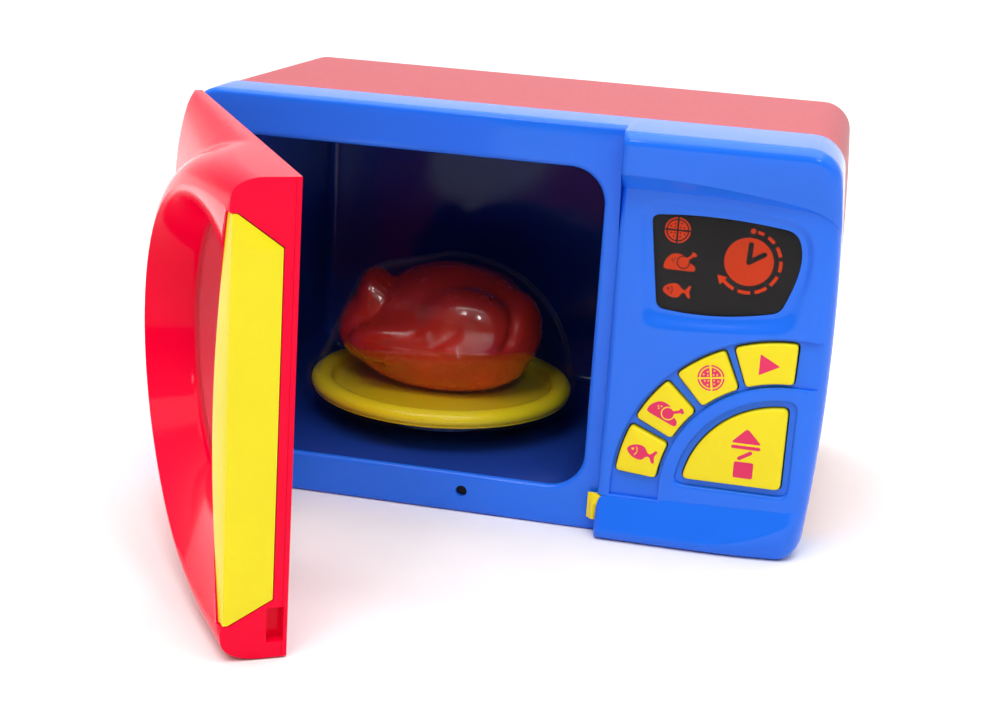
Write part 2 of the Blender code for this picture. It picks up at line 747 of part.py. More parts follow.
def add_hinge_lugs(shell):
    for low in (LUG_LOWER_Z, LUG_UPPER_Z):
        top = low + LUG_HEIGHT
        centre = (HINGE_X, HINGE_Y, 0)
        eye = rod("lug_eye", centre, (0, 0, 1), LUG_RADIUS, low, top, steps=16)
        stem_low = (HINGE_X - LUG_RADIUS, HINGE_Y, low)
        stem_high = (HINGE_X + LUG_RADIUS, FRONT_Y + WALL / 2, top)
        add(shell, box("lug_stem", stem_low, stem_high))
        add(shell, eye)
        bore = PIN_RADIUS + RUNNING_GAP / 2
        cut(shell, rod("lug_bore", centre, (0, 0, 1), bore, low - OVERRUN, top + OVERRUN, steps=12))


def make_front_housing():
    back = FRONT_Y + FRONT_SHELL_DEPTH
    shell = grid_body("front_housing", front_rows(0.0), back, "royal_blue")
    cut(shell, grid_body("front_inside", front_rows(WALL), back + OVERRUN, "grey"))
    cut_opening(shell)
    cut_panel(shell)
    cut_latch_way(shell)
    hole_end = FRONT_Y + WALL + OVERRUN
    centre = (HINGE_X + PEG_U, 0, PEG_Z)
    cut(shell, rod("peg_hole", centre, (0, 1, 0), PEG_HOLE_RADIUS, FRONT_Y - OVERRUN, hole_end, steps=16))
    add_front_posts(shell)
    add_hinge_lugs(shell)
    shelf_low = (LATCH_TAB_X, FRONT_Y + LATCH_FRONT, WALL / 2)
    shelf_high = (LATCH_TAB_X + LUG_RADIUS, FRONT_Y + FRONT_SHELL_DEPTH / 2, LATCH_BOTTOM - GAP)
    add(shell, box("latch_shelf", shelf_low, shelf_high))
    merge_flat(shell)
    return shell


def housing_ring(y, inset):
    """The rear shell's outline at a place along Y, drawn in by an inset."""
    share = (y - FRONT_Y) / HOUSING_DEPTH
    half = HALF_WIDTH - REAR_SIDE_TAPER * share - inset
    top = HOUSING_HEIGHT - REAR_TOP_FALL * share - inset
    outline = rounded_outline(-half, half, inset, top, CORNER_RADIUS - inset, 4, 5)
    return [Vector((bulged(x, z), y, z)) for x, z in outline]


def rear_rings(inset, front):
    """Rings from the open front of the rear shell to its rounded back edge."""
    radius = REAR_EDGE_RADIUS - inset
    rings = [housing_ring(front, inset)]
    for turn in (0, 30, 60, 90):
        angle = math.radians(turn)
        y = REAR_Y - inset - radius + radius * math.sin(angle)
        rings.append(housing_ring(y, inset + radius * (1 - math.cos(angle))))
    return rings


def grille_places():
    """Centres of the speaker holes, in rings of six, twelve and so on round one hole."""
    places = [(SPEAKER_X, SPEAKER_Z)]
    for ring in range(1, GRILLE_RINGS + 1):
        count = 6 * ring
        places += [(SPEAKER_X + dx, SPEAKER_Z + dz) for dx, dz in circle(GRILLE_PITCH * ring, count)]
    return places


BOX_HALF_LENGTH = BATTERY_LENGTH / 2 + BOX_END_ROOM
BOX_LOW_Z = BATTERY_LOW_Z - BATTERY_RADIUS - BOX_CLEARANCE
BOX_HIGH_Z = BATTERY_LOW_Z + BATTERY_PITCH * (BATTERY_COUNT - 1) + BATTERY_RADIUS + BOX_CLEARANCE
BOX_FRONT_Y = FRONT_Y + BATTERY_DEPTH - BATTERY_RADIUS - BOX_CLEARANCE
DOOR_WAY_TOP = BOX_HIGH_Z + BOX_WALL + COVER_TAB
REAR_INNER_Y = REAR_Y - WALL
OUTPUT_PLACE = (TURNTABLE_X, FRONT_Y + TURNTABLE_DEPTH)
CENTRE_SHARES = (
    (OUTPUT_TEETH + IDLER_TEETH) / 2,
    (IDLER_TEETH + COMPOUND_PINION_TEETH) / 2,
    (COMPOUND_TEETH + PINION_TEETH) / 2,
)
IDLER_X = TURNTABLE_X + MODULE * CENTRE_SHARES[0] + CENTRE_EASE
COMPOUND_X = IDLER_X + MODULE * CENTRE_SHARES[1] + CENTRE_EASE
MOTOR_X = COMPOUND_X + MODULE * CENTRE_SHARES[2] + CENTRE_EASE
DRIVE_Y = OUTPUT_PLACE[1]
GEAR_LOW_Z = WALL + GAP
GEAR_HIGH_Z = GEAR_LOW_Z + GEAR_THICKNESS
MOTOR_LOW_Z = MOTOR_PLATE_BOTTOM + MOTOR_PLATE + GAP
COVER_SCREW_Z = DOOR_WAY_TOP - COVER_TAB / 2
UPPER_LOW_Z = GEAR_HIGH_Z + GEAR_LAYER_GAP
UPPER_HIGH_Z = UPPER_LOW_Z + UPPER_GEAR_THICKNESS


def make_rear_housing():
    front = FRONT_Y + FRONT_SHELL_DEPTH + GAP
    rings = list(reversed(rear_rings(WALL, front))) + rear_rings(0.0, front)
    shell = rings_body("rear_housing", rings, "red")
    for x, z in BOSS_PLACES:
        add(shell, rod("boss", (x, 0, z), (0, 1, 0), BOSS_RADIUS, BOSS_FRONT_Y,
                       REAR_Y - WALL / 2, steps=14))
    for x, z in BOSS_PLACES:
        seat = FRONT_Y + BOSS_FLOOR_Y
        way = SCREW_RADIUS + SCREW_CLEARANCE
        cut(shell, rod("boss_well", (x, 0, z), (0, 1, 0), BOSS_BORE_RADIUS, seat,
                       REAR_Y + OVERRUN, steps=12))
        cut(shell, rod("boss_way", (x, 0, z), (0, 1, 0), way, BOSS_FRONT_Y - OVERRUN,
                       seat + OVERRUN, steps=10))
    for x, z in grille_places():
        cut(shell, rod("grille_hole", (x, 0, z), (0, 1, 0), GRILLE_HOLE_RADIUS,
                       REAR_INNER_Y - OVERRUN, REAR_Y + OVERRUN, steps=8))
    low = (BATTERY_X - BOX_HALF_LENGTH, REAR_INNER_Y - OVERRUN, BOX_LOW_Z)
    high = (BATTERY_X + BOX_HALF_LENGTH, REAR_Y + OVERRUN, DOOR_WAY_TOP)
    cut(shell, box("battery_way", low, high))
    for x, top in ((TURNTABLE_X, AXLE_TOP_Z), (IDLER_X, GEAR_HIGH_Z), (COMPOUND_X, UPPER_HIGH_Z)):
        add(shell, rod("axle_post", (x, DRIVE_Y, 0), (0, 0, 1), AXLE_RADIUS, WALL / 2, top, steps=12))
    return shell


def make_liner():
    """The oven's inner box, open to the front, with a way for the turntable's spindle."""
    front = FRONT_Y + WALL + GAP
    back = REAR_INNER_Y - GAP - LINER_WALL
    rings = []
    for grow, places in ((0.0, (back, front)), (LINER_WALL, (front, back + LINER_WALL))):
        for y in places:
            taper = LINER_TAPER * (y - front) / (back - front)
            outline = rounded_outline(OPENING_LEFT + taper - grow, OPENING_RIGHT - taper + grow,
                                      OPENING_BOTTOM - grow, OPENING_TOP - taper + grow,
                                      OPENING_RADIUS + grow)
            rings.append([Vector((x, y, z)) for x, z in outline])
    liner = rings_body("oven_liner", rings, "navy_blue")
    way = SPINDLE_RADIUS + RUNNING_GAP
    cut(liner, rod("spindle_way", (*OUTPUT_PLACE, 0), (0, 0, 1), way,
                   OPENING_BOTTOM - LINER_WALL - OVERRUN, OPENING_BOTTOM + OVERRUN, steps=ROUND_STEPS))
    return liner


def make_display():
    """The clear window in its hole and the printed card that backs it."""
    front = FACE_Y + RECESS_DEPTH - GAP
    window = sheet("display_window", display_outline(GLASS_SHARES, -GAP), front, FACE_INNER_Y, "clear")
    card_front = FACE_INNER_Y + GAP
    card = sheet("display_card", display_outline(GLASS_SHARES, CARD_LAP), card_front,
                 card_front + CARD_THICKNESS, "black")
    return [window, card]


def sector_centre(degrees):
    turn = math.radians((degrees[0] + degrees[1]) / 2)
    radius = (FAN_INNER + FAN_OUTER) / 2
    return FAN_X + radius * math.cos(turn), FAN_Z + radius * math.sin(turn)


BOARD_FRONT_Y = FRONT_Y + BOARD_Y
MEMBRANE_Y = BOARD_FRONT_Y - GAP - MEMBRANE_THICKNESS
DOME_FRONT_Y = MEMBRANE_Y - DOME_HEIGHT


def key_cap(name, outline_of):
    """A key: a raised cap with an eased rim, and a flange that holds it behind the panel."""
    front = RECESS_Y - KEY_STAND
    ease = KEY_STAND / 4
    flange = FACE_INNER_Y + GAP
    stages = (
        (-GAP - ease, front),
        (-GAP, front + ease),
        (-GAP, flange),
        (KEY_FLANGE_LAP, flange),
        (KEY_FLANGE_LAP, flange + KEY_FLANGE),
    )
    rings = [[Vector((x, y, z)) for x, z in outline_of(GAP + grow)] for grow, y in stages]
    return rings_body(name, rings, "yellow")


def make_fan_keys():
    keys = []
    for name, degrees in FAN_KEY_DEGREES.items():
        key = key_cap(name, lambda grow, span=degrees: sector_outline(span, grow))
        x, z = sector_centre(degrees)
        start = FACE_INNER_Y + GAP + KEY_FLANGE / 2
        end = DOME_FRONT_Y - KEY_TRAVEL - GAP
        add(key, rod("key_stem", (x, 0, z), (0, 1, 0), KEY_STEM_RADIUS, start, end, steps=10))
        keys.append(key)
    return keys


RAMP_RISE = OPEN_KEY_TRAVEL / LATCH_TRAVEL
STEM_END_Y = FRONT_Y + STEM_REACH


def make_open_key():
    """The open key, whose wedge pushes the latch sideways."""
    key = key_cap("key_open", open_key_outline)
    start = FACE_INNER_Y + GAP + KEY_FLANGE / 2
    right = STEM_X + STEM_WIDTH
    wedge = [
        (STEM_X, start), (right, start),
        (right, STEM_END_Y), (STEM_X, STEM_END_Y + STEM_WIDTH * RAMP_RISE),
    ]
    add(key, prism_z("open_wedge", wedge, STEM_Z, STEM_Z + STEM_HEIGHT))
    return key


def make_latch():
    """The latch: a tongue through the panel's wall, a slide bar and a ramped tab."""
    front = FRONT_Y + LATCH_FRONT
    back = front + LATCH_THICKNESS
    low_z = LATCH_BOTTOM
    high_z = LATCH_BOTTOM + LATCH_HEIGHT
    end = LATCH_TAB_X + LATCH_TAB_WIDTH
    tip = PANEL_LEFT - LATCH_TIP
    tongue = LATCH_TIP
    outline = [(tip, back), (tip + tongue / 2, front), (end, front), (end, back)]
    latch = prism_z("latch", outline, low_z, high_z, "yellow")
    post_low = (end - KEY_STEM_RADIUS * 2, front + LATCH_THICKNESS / 2, low_z)
    post_high = (end, FRONT_Y + LATCH_TAB_BACK, high_z)
    add(latch, box("latch_post", post_low, post_high))
    riser_low = (end - KEY_STEM_RADIUS * 2, FRONT_Y + LATCH_TAB_BACK - LATCH_THICKNESS, low_z)
    riser_high = (end, FRONT_Y + LATCH_TAB_BACK, STEM_Z + STEM_HEIGHT)
    add(latch, box("latch_riser", riser_low, riser_high))
    ramp = Vector((1.0, -RAMP_RISE)).normalized()
    normal = Vector((-ramp.y, ramp.x))
    corner = Vector((STEM_X + STEM_WIDTH, STEM_END_Y)) + normal * GAP
    reach = (FRONT_Y + LATCH_TAB_BACK - corner.y) / ramp.y
    upper = corner + ramp * reach
    tab = [tuple(corner), (end, corner.y), (end, FRONT_Y + LATCH_TAB_BACK), tuple(upper)]
    add(latch, prism_z("latch_tab", tab, STEM_Z, STEM_Z + STEM_HEIGHT))
    return latch


def make_board():
    """The circuit board, the rubber keypad on it and the lamps behind the display."""
    low = (BOARD_LEFT, BOARD_FRONT_Y, BOARD_BOTTOM)
    high = (BOARD_RIGHT, BOARD_FRONT_Y + BOARD_THICKNESS, BOARD_TOP)
    board = box("circuit_board", low, high, "green")
    first = FAN_KEY_DEGREES["key_start"][0]
    last = FAN_KEY_DEGREES["key_fish"][1]
    membrane = sheet("keypad_membrane", sector_outline((first, last)), MEMBRANE_Y,
                     BOARD_FRONT_Y - GAP, "white")
    for degrees in FAN_KEY_DEGREES.values():
        x, z = sector_centre(degrees)
        add(membrane, rod("dome", (x, 0, z), (0, 1, 0), DOME_RADIUS, DOME_FRONT_Y,
                          MEMBRANE_Y + MEMBRANE_THICKNESS / 2, steps=12))
    return [board, membrane, *make_lamps()]


LAMP_SHARES = ((0.176, 0.856), (0.209, 0.522), (0.221, 0.216))


def make_lamps():
    """Three lamps, one behind each picture on the card."""
    lamps = []
    end = BOARD_FRONT_Y - GAP
    for index, (x_share, z_share) in enumerate(LAMP_SHARES):
        x = DISPLAY_LEFT + (DISPLAY_RIGHT - DISPLAY_LEFT) * x_share
        z = DISPLAY_BOTTOM + (DISPLAY_TOP - DISPLAY_BOTTOM) * z_share
        lamps.append(rod(f"indicator_lamp_{index + 1}", (x, 0, z), (0, 1, 0), LED_RADIUS,
                         end - LED_LENGTH, end, "clear", steps=10))
    return lamps


def mix(low, high, share):
    return low + (high - low) * share


def door_sheet(u, z):
    """How far the door's plain outer sheet stands out from the inner face."""
    along = min(1.0, max(0.0, u / DOOR_LENGTH))
    thickness = mix(DOOR_THIN, DOOR_THICK, along)
    shoulder = mix(DOOR_SHOULDER_HINGE, DOOR_SHOULDER_FREE, along)
    edge = min(z - DOOR_BOTTOM, DOOR_TOP - z)
    level = 1 - min(1.0, max(0.0, edge / shoulder))
    nose = 1 - min(1.0, max(0.0, (u + DOOR_NOSE) / DOOR_NOSE_RADIUS))
    fall = math.sqrt(max(0.0, 1 - level ** 2)) * math.sqrt(max(0.0, 1 - nose ** 2))
    return mix(DOOR_RIM, thickness, fall)


def handle_edge(z):
    """Where the handle's inner edge lies along the door at a height."""
    level = min(1.0, abs(z - CREST_Z) / CREST_HEIGHT)
    return DOOR_LENGTH - HANDLE_TIP - (HANDLE_DEPTH - HANDLE_TIP) * (1 - level ** 2)


def crest_raise(u):
    share = min(1.0, max(0.0, (u - WINDOW_U) / (DOOR_LENGTH - WINDOW_U)))
    return mix(CREST_RAISE, CREST_RAISE_FREE, share ** 2)


def door_raise(u, z):
    """How far the door's outer face stands out: sheet, skirt, crest and the slope to the window."""
    du = (u - CREST_U) / CREST_LENGTH
    dz = (z - CREST_Z) / CREST_HEIGHT
    ratio = math.hypot(du, dz)
    slope = math.hypot(du / CREST_LENGTH, dz / CREST_HEIGHT) / max(ratio, 1e-6)
    outside = (ratio - 1) / slope
    plain = door_sheet(u, z)
    if outside >= 0:
        share = min(1.0, outside / CREST_SKIRT)
        return mix(max(crest_raise(u), plain), plain, share ** 2)
    if u >= handle_edge(z):
        share = (u - handle_edge(z)) / (DOOR_LENGTH - handle_edge(z))
        return mix(crest_raise(u), DOOR_THICK, share)
    inside = min(-outside, handle_edge(z) - u)
    to_window = max(0.0, math.hypot(u - WINDOW_U, z - WINDOW_Z) - WINDOW_RADIUS)
    share = inside / (inside + to_window) if inside + to_window > 0 else 0.0
    return mix(crest_raise(u), WINDOW_RAISE, share)


def door_point(u, t, z):
    """A point of the door in the hinge's own frame, with the door along +X."""
    return Vector((u, HINGE_SETBACK - t, z))


def side_points(left, right, bottom, top):
    """Points along the sides of an upright rectangle, evenly spaced on each side."""
    corners = ((right, bottom), (right, top), (left, top), (left, bottom))
    points = []
    for start, end in zip(corners, corners[1:] + corners[:1]):
        for step in range(DOOR_SIDE_STEPS):
            share = step / DOOR_SIDE_STEPS
            points.append((mix(start[0], end[0], share), mix(start[1], end[1], share)))
    return points


def ray_reach(direction, limit, inside):
    """How far a ray from the window's centre runs before it leaves a region."""
    low, high = 0.0, limit
    for _ in range(RAY_HALVINGS):
        middle = (low + high) / 2
        if inside(WINDOW_U + direction[0] * middle, WINDOW_Z + direction[1] * middle):
            low = middle
        else:
            high = middle
    return low


def within_crest(u, z):
    ratio = math.hypot((u - CREST_U) / CREST_LENGTH, (z - CREST_Z) / CREST_HEIGHT)
    return ratio < 1 and u < handle_edge(z)


def within_skirt(u, z):
    length = CREST_LENGTH + CREST_SKIRT
    height = CREST_HEIGHT + CREST_SKIRT
    return math.hypot((u - CREST_U) / length, (z - CREST_Z) / height) < 1


# Shares at which the door is sampled along rays from its window: the slope up to the crest,
# the skirt outside it and the plain sheet beyond
SLOPE_SHARES = (0.0, 0.5, 1.0)
SKIRT_SHARES = (0.4, 0.75, 1.0)
SHEET_SHARES = (0.4, 0.75, 0.93, 1.0)
SKIRT_LIMIT_SHARE = 0.9


def door_reaches(rim, reach_limit):
    """Distances from the window's centre at which one ray is sampled, ending on the rim."""
    offset = Vector(rim) - Vector((WINDOW_U, WINDOW_Z))
    limit = offset.length
    direction = offset.normalized()
    crest = min(ray_reach(direction, limit, within_crest), limit * reach_limit)
    foot = min(ray_reach(direction, limit, within_skirt), limit * SKIRT_LIMIT_SHARE)
    foot = max(foot, mix(crest, limit, SKIRT_SHARES[0]))
    reaches = [mix(WINDOW_RADIUS, crest, share) for share in SLOPE_SHARES]
    reaches += [mix(crest, foot, share) for share in SKIRT_SHARES]
    reaches += [mix(foot, limit, share) for share in SHEET_SHARES]
    return direction, reaches


def door_face_rings(rim_points, inset):
    """Rings over the door's face from the window's edge to a rim, sunk by an inset."""
    columns = []
    for rim in rim_points:
        direction, reaches = door_reaches(rim, DOOR_CREST_LIMIT_SHARE)
        places = [(WINDOW_U + direction[0] * r, WINDOW_Z + direction[1] * r) for r in reaches]
        columns.append([door_point(u, door_raise(u, z) - inset, z) for u, z in places])
    return [list(ring) for ring in zip(*columns)]


def handle_sections(gap, over):
    """Cross-sections of the handle from its lower tip to its upper tip."""
    rings = []
    reach = CREST_HEIGHT - HANDLE_TIP / 2 + gap
    steps = 12
    levels = [-reach * math.cos(math.pi * step / steps) for step in range(steps + 1)]
    levels += [HANDLE_FOOT_RUN - reach, reach - HANDLE_TIP_RUN]
    inner = DOOR_LENGTH - HANDLE_THICKNESS - gap
    for level in sorted(levels):
        z = CREST_Z + level
        edge = handle_edge(z)
        run = HANDLE_TIP_RUN if level > 0 else HANDLE_FOOT_RUN
        near_tip = max(0.0, 1 - (reach - abs(level)) / run)
        back = mix(HANDLE_BACK, DOOR_THICK - HANDLE_TIP_THICKNESS * 1.5, near_tip) - gap
        face = door_raise(edge + gap, z)
        under = mix(HANDLE_THICKNESS, HANDLE_TIP_THICKNESS, near_tip) + gap
        rings.append([
            door_point(edge - gap, face + over, z),
            door_point(inner, mix(face, DOOR_THICK, HANDLE_FACE_SHARE) + over, z),
            door_point(DOOR_LENGTH + over, DOOR_THICK + over, z),
            door_point(DOOR_LENGTH + over, back, z),
            door_point(inner, back, z),
            door_point(inner, mix(face, DOOR_THICK, HANDLE_FACE_SHARE) - under, z),
            door_point(edge - gap, face - under, z),
        ])
    return rings


def make_door_shell():
    """The door's outer shell, with its window, handle seat, hinge notches and latch pocket."""
    outer_rim = side_points(-DOOR_NOSE, DOOR_LENGTH, DOOR_BOTTOM, DOOR_TOP)
    margin = INNER_PANEL_MARGIN
    inner_rim = side_points(margin, CREST_U - GAP, DOOR_BOTTOM + margin / 2, DOOR_TOP - margin / 2)
    outer = door_face_rings(outer_rim, 0.0)
    inner = door_face_rings(inner_rim, DOOR_WALL)
    rims = [[door_point(u, 0.0, z) for u, z in rim] for rim in (outer_rim, inner_rim)]
    rings = outer + rims + list(reversed(inner))
    shell = rings_body("door_shell", rings, "magenta_red", closed_tube=True, curved=True)
    cut(shell, rings_body("handle_seat", handle_sections(GAP, OVERRUN), "grey"))
    for low_z in (LUG_LOWER_Z, LUG_UPPER_Z):
        notch_low = (-DOOR_NOSE - OVERRUN, HINGE_SETBACK - LUG_RADIUS * 2 - DOOR_WALL, low_z - NOTCH_GAP)
        notch_high = (LUG_RADIUS + NOTCH_SIDE_GAP, HINGE_SETBACK + OVERRUN,
                      low_z + LUG_HEIGHT + NOTCH_GAP)
        cut(shell, box("hinge_notch", notch_low, notch_high))
        cut(shell, rod("pin_bore", (0, 0, 0), (0, 0, 1), PIN_RADIUS + RUNNING_GAP,
                       low_z - PIN_REACH - GAP, low_z + LUG_HEIGHT + PIN_REACH + GAP, steps=12))
    cut(shell, latch_pocket())
    merge_flat(shell)
    return shell


def latch_pocket():
    """The pocket in the door's free edge that clears the latch as the door swings shut."""
    depth = -LATCH_FRONT - DOOR_GAP + LATCH_SLOT_MARGIN
    start = (DOOR_LENGTH - LATCH_TIP - LATCH_SLOT_MARGIN, HINGE_SETBACK - depth,
             LATCH_BOTTOM - LATCH_SLOT_MARGIN)
    end = (DOOR_LENGTH + OVERRUN, HINGE_SETBACK + OVERRUN,
           LATCH_BOTTOM + LATCH_HEIGHT + LATCH_SLOT_MARGIN)
    return box("latch_pocket", start, end)


def make_inner_panel():
    """The flat sheet that closes the door's back, with the window's collar and the switch peg."""
    margin = INNER_PANEL_MARGIN + GAP
    low = DOOR_BOTTOM + INNER_PANEL_MARGIN / 2 + GAP
    high = DOOR_TOP - INNER_PANEL_MARGIN / 2 - GAP
    outline = rounded_outline(margin, CREST_U - GAP * 2, low, high, COLLAR_WALL)
    panel = sheet("door_inner_panel", outline, HINGE_SETBACK - INNER_PANEL_THICKNESS, HINGE_SETBACK,
                  "magenta_red")
    centre = (WINDOW_U, 0, WINDOW_Z)
    outer = WINDOW_RADIUS - GAP * 2
    inner = outer - COLLAR_WALL
    start = INNER_PANEL_THICKNESS / 2 - HINGE_SETBACK
    end = WINDOW_RAISE - WINDOW_THICKNESS - GAP * 2 - HINGE_SETBACK
    add(panel, rod("collar", centre, (0, -1, 0), outer, start, end, steps=40))
    cut(panel, rod("collar_hole", centre, (0, -1, 0), inner, -HINGE_SETBACK - OVERRUN,
                   end + OVERRUN, steps=40))
    peg_start = -HINGE_SETBACK - PEG_LENGTH
    add(panel, rod("switch_peg", (PEG_U, 0, PEG_Z), (0, -1, 0), PEG_RADIUS, peg_start, start, steps=12))
    return panel


def make_door():
    window_low = WINDOW_RAISE - WINDOW_THICKNESS - GAP - HINGE_SETBACK
    window = rod("door_window", (WINDOW_U, 0, WINDOW_Z), (0, -1, 0), WINDOW_RADIUS - GAP, window_low,
                 window_low + WINDOW_THICKNESS, "clear", steps=40)
    handle = rings_body("door_handle", handle_sections(0.0, 0.0), "yellow")
    pieces = [make_door_shell(), make_inner_panel(), window, handle]
    hinge = bpy.data.objects.new("door_hinge", None)
    bpy.context.scene.collection.objects.link(hinge)
    hinge.location = (HINGE_X, HINGE_Y, 0)
    hinge.rotation_euler = (0, 0, -math.radians(DOOR_OPEN_DEGREES))
    for piece in pieces:
        piece.parent = hinge
    return pieces


def make_hinge_pins():
    pins = []
    for name, low in (("hinge_pin_lower", LUG_LOWER_Z), ("hinge_pin_upper", LUG_UPPER_Z)):
        pins.append(rod(name, (HINGE_X, HINGE_Y, 0), (0, 0, 1), PIN_RADIUS, low - PIN_REACH,
                        low + LUG_HEIGHT + PIN_REACH, "steel", steps=12, metallic=1.0))
    return pins


def pitch_radius(teeth):
    return MODULE * teeth / 2


def gear_outline(teeth, phase):
    """A spur gear's outline with involute flanks of three points, first tooth at the phase."""
    pitch = pitch_radius(teeth)
    base = pitch * math.cos(PRESSURE_ANGLE)
    tip = pitch + MODULE * ADDENDUM_SHARE
    root = pitch - MODULE * DEDENDUM_SHARE
    involute = math.tan(PRESSURE_ANGLE) - PRESSURE_ANGLE
    half = math.pi / (2 * teeth) - BACKLASH / (2 * pitch) + involute
    flank = []
    for radius in (root, pitch, tip):
        lean = math.acos(min(1.0, base / radius))
        flank.append((radius, half - (math.tan(lean) - lean)))
    points = []
    for tooth in range(teeth):
        middle = phase + math.tau * tooth / teeth
        stages = [(radius, middle - width) for radius, width in flank]
        stages += [(radius, middle + width) for radius, width in reversed(flank)]
        points += [(radius * math.cos(turn), radius * math.sin(turn)) for radius, turn in stages]
    return points


def mating_phase(teeth, phase, mate_teeth):
    """The phase of a mate that lies along +X, so that its teeth stand in this gear's gaps."""
    ahead = (-phase * teeth / math.tau) % 1
    return math.pi - (0.5 - ahead) * math.tau / mate_teeth


def gear(name, teeth, phase, x, low, high, colour):
    made = prism_z(name, gear_outline(teeth, phase), low, high, colour)
    made.location = (x, DRIVE_Y, 0)
    return made


def make_gears():
    idler_phase = mating_phase(OUTPUT_TEETH, 0.0, IDLER_TEETH)
    small_phase = mating_phase(IDLER_TEETH, idler_phase, COMPOUND_PINION_TEETH)
    pinion_phase = mating_phase(COMPOUND_TEETH, 0.0, PINION_TEETH)
    bore = AXLE_RADIUS + RUNNING_GAP
    up = (0, 0, 1)
    start = GEAR_LOW_Z - OVERRUN

    output = gear("output_gear", OUTPUT_TEETH, 0.0, TURNTABLE_X, GEAR_LOW_Z, GEAR_HIGH_Z, "white")
    add(output, rod("spindle", (0, 0, 0), up, SPINDLE_RADIUS, GEAR_HIGH_Z - GAP, SPINDLE_TOP))
    cut(output, rod("output_bore", (0, 0, 0), up, bore, start, AXLE_TOP_Z + GAP, steps=12))

    idler = gear("idler_gear", IDLER_TEETH, idler_phase, IDLER_X, GEAR_LOW_Z, GEAR_HIGH_Z, "white")
    cut(idler, rod("idler_bore", (0, 0, 0), up, bore, start, GEAR_HIGH_Z + OVERRUN, steps=12))

    compound = gear("compound_gear", COMPOUND_TEETH, 0.0, COMPOUND_X, UPPER_LOW_Z, UPPER_HIGH_Z, "white")
    small = prism_z("compound_pinion", gear_outline(COMPOUND_PINION_TEETH, small_phase), GEAR_LOW_Z,
                    UPPER_LOW_Z + GAP)
    add(compound, small)
    cut(compound, rod("compound_bore", (0, 0, 0), up, bore, start, UPPER_HIGH_Z + OVERRUN, steps=12))

    pinion = gear("motor_pinion", PINION_TEETH, pinion_phase, MOTOR_X, UPPER_LOW_Z, UPPER_HIGH_Z, "brass")
    add(pinion, rod("motor_shaft", (0, 0, 0), up, MOTOR_SHAFT_RADIUS, UPPER_LOW_Z + GAP,
                    MOTOR_LOW_Z + SHAFT_REACH, steps=12))
    return [output, idler, compound, pinion]


def make_motor():
    """The motor on its bracket, whose legs stand on the rear shell's floor."""
    centre = (MOTOR_X, DRIVE_Y, 0)
    up = (0, 0, 1)
    motor = rod("drive_motor", centre, up, MOTOR_RADIUS, MOTOR_LOW_Z, MOTOR_LOW_Z + MOTOR_LENGTH,
                "steel", metallic=1.0)
    bore = MOTOR_SHAFT_RADIUS + RUNNING_GAP
    cut(motor, rod("motor_bore", centre, up, bore, MOTOR_LOW_Z - OVERRUN,
                   MOTOR_LOW_Z + SHAFT_REACH + GAP, steps=12))
    low = (MOTOR_X - MOTOR_PLATE_LEFT_REACH, DRIVE_Y - MOTOR_PLATE_REACH, MOTOR_PLATE_BOTTOM)
    high = (MOTOR_X + MOTOR_PLATE_RIGHT_REACH, DRIVE_Y + MOTOR_PLATE_REACH, MOTOR_PLATE_BOTTOM + MOTOR_PLATE)
    bracket = box("motor_bracket", low, high, "grey")
    for dx in (-MOTOR_LEG_X, MOTOR_LEG_X):
        for dy in (-MOTOR_LEG_Y, MOTOR_LEG_Y):
            foot = (MOTOR_X + dx, DRIVE_Y + dy, 0)
            add(bracket, rod("bracket_leg", foot, up, MOTOR_LEG_RADIUS, GEAR_LOW_Z,
                             MOTOR_PLATE_BOTTOM + GAP, steps=10))
    cut(bracket, rod("shaft_way", centre, up, MOTOR_LEG_RADIUS, MOTOR_PLATE_BOTTOM - OVERRUN,
                     MOTOR_LOW_Z + OVERRUN, steps=12))
    return [motor, bracket]


def make_hub():
    centre = (*OUTPUT_PLACE, 0)
    low = OPENING_BOTTOM + HUB_LIFT
    high = PLATE_BOTTOM - GAP
    hub = turned("turntable_hub", centre, (0, 0, 1), [(HUB_BASE_RADIUS, low), (HUB_TOP_RADIUS, high)],
                 "royal_blue", 32)
    cut(hub, rod("hub_bore", centre, (0, 0, 1), SPINDLE_RADIUS + GAP, low - OVERRUN,
                 SPINDLE_TOP + GAP, steps=ROUND_STEPS))
    return hub


def make_plate():
    """A round plate with a broad rounded rim and a sunk middle."""
    rim = PLATE_RIM
    inner = PLATE_RADIUS - rim
    top = PLATE_TOP
    profile = [
        (inner, PLATE_BOTTOM),
        (PLATE_RADIUS - rim / 6, PLATE_BOTTOM + PLATE_WALL / 2),
        (PLATE_RADIUS, PLATE_BOTTOM + PLATE_WALL * 2),
        (PLATE_RADIUS - rim / 12, top - PLATE_WALL / 2),
        (PLATE_RADIUS - rim / 3, top),
        (inner, top - PLATE_WALL / 4),
        (inner - rim / 2, PLATE_BOTTOM + PLATE_WALL * 1.5),
        (inner - rim, PLATE_BOTTOM + PLATE_WALL),
    ]
    return turned("turntable_plate", (*OUTPUT_PLACE, 0), (0, 0, 1), profile, "yellow", 36)


def make_food():
    """The toy roast: a flat-bottomed lump that the food cover follows."""
    low = PLATE_BOTTOM + PLATE_WALL + GAP
    middle = low + (FOOD_TOP - low) * FOOD_MIDDLE_SHARE
    rise = FOOD_TOP - middle
    steps = 9
    start = -math.asin(min(1.0, (middle - low) / rise))
    rings = []
    for step in range(steps):
        turn = start + (math.radians(80) - start) * step / (steps - 1)
        z = middle + rise * math.sin(turn)
        ring = [(FOOD_LENGTH * math.cos(turn) * a, FOOD_WIDTH * math.cos(turn) * b)
                for a, b in circle(1.0, ROUND_STEPS)]
        x0, y0 = OUTPUT_PLACE
        rings.append([Vector((x0 + FOOD_SHIFT + a, y0 + b, z)) for a, b in ring])
    return rings_body("toy_roast", rings, "brown")


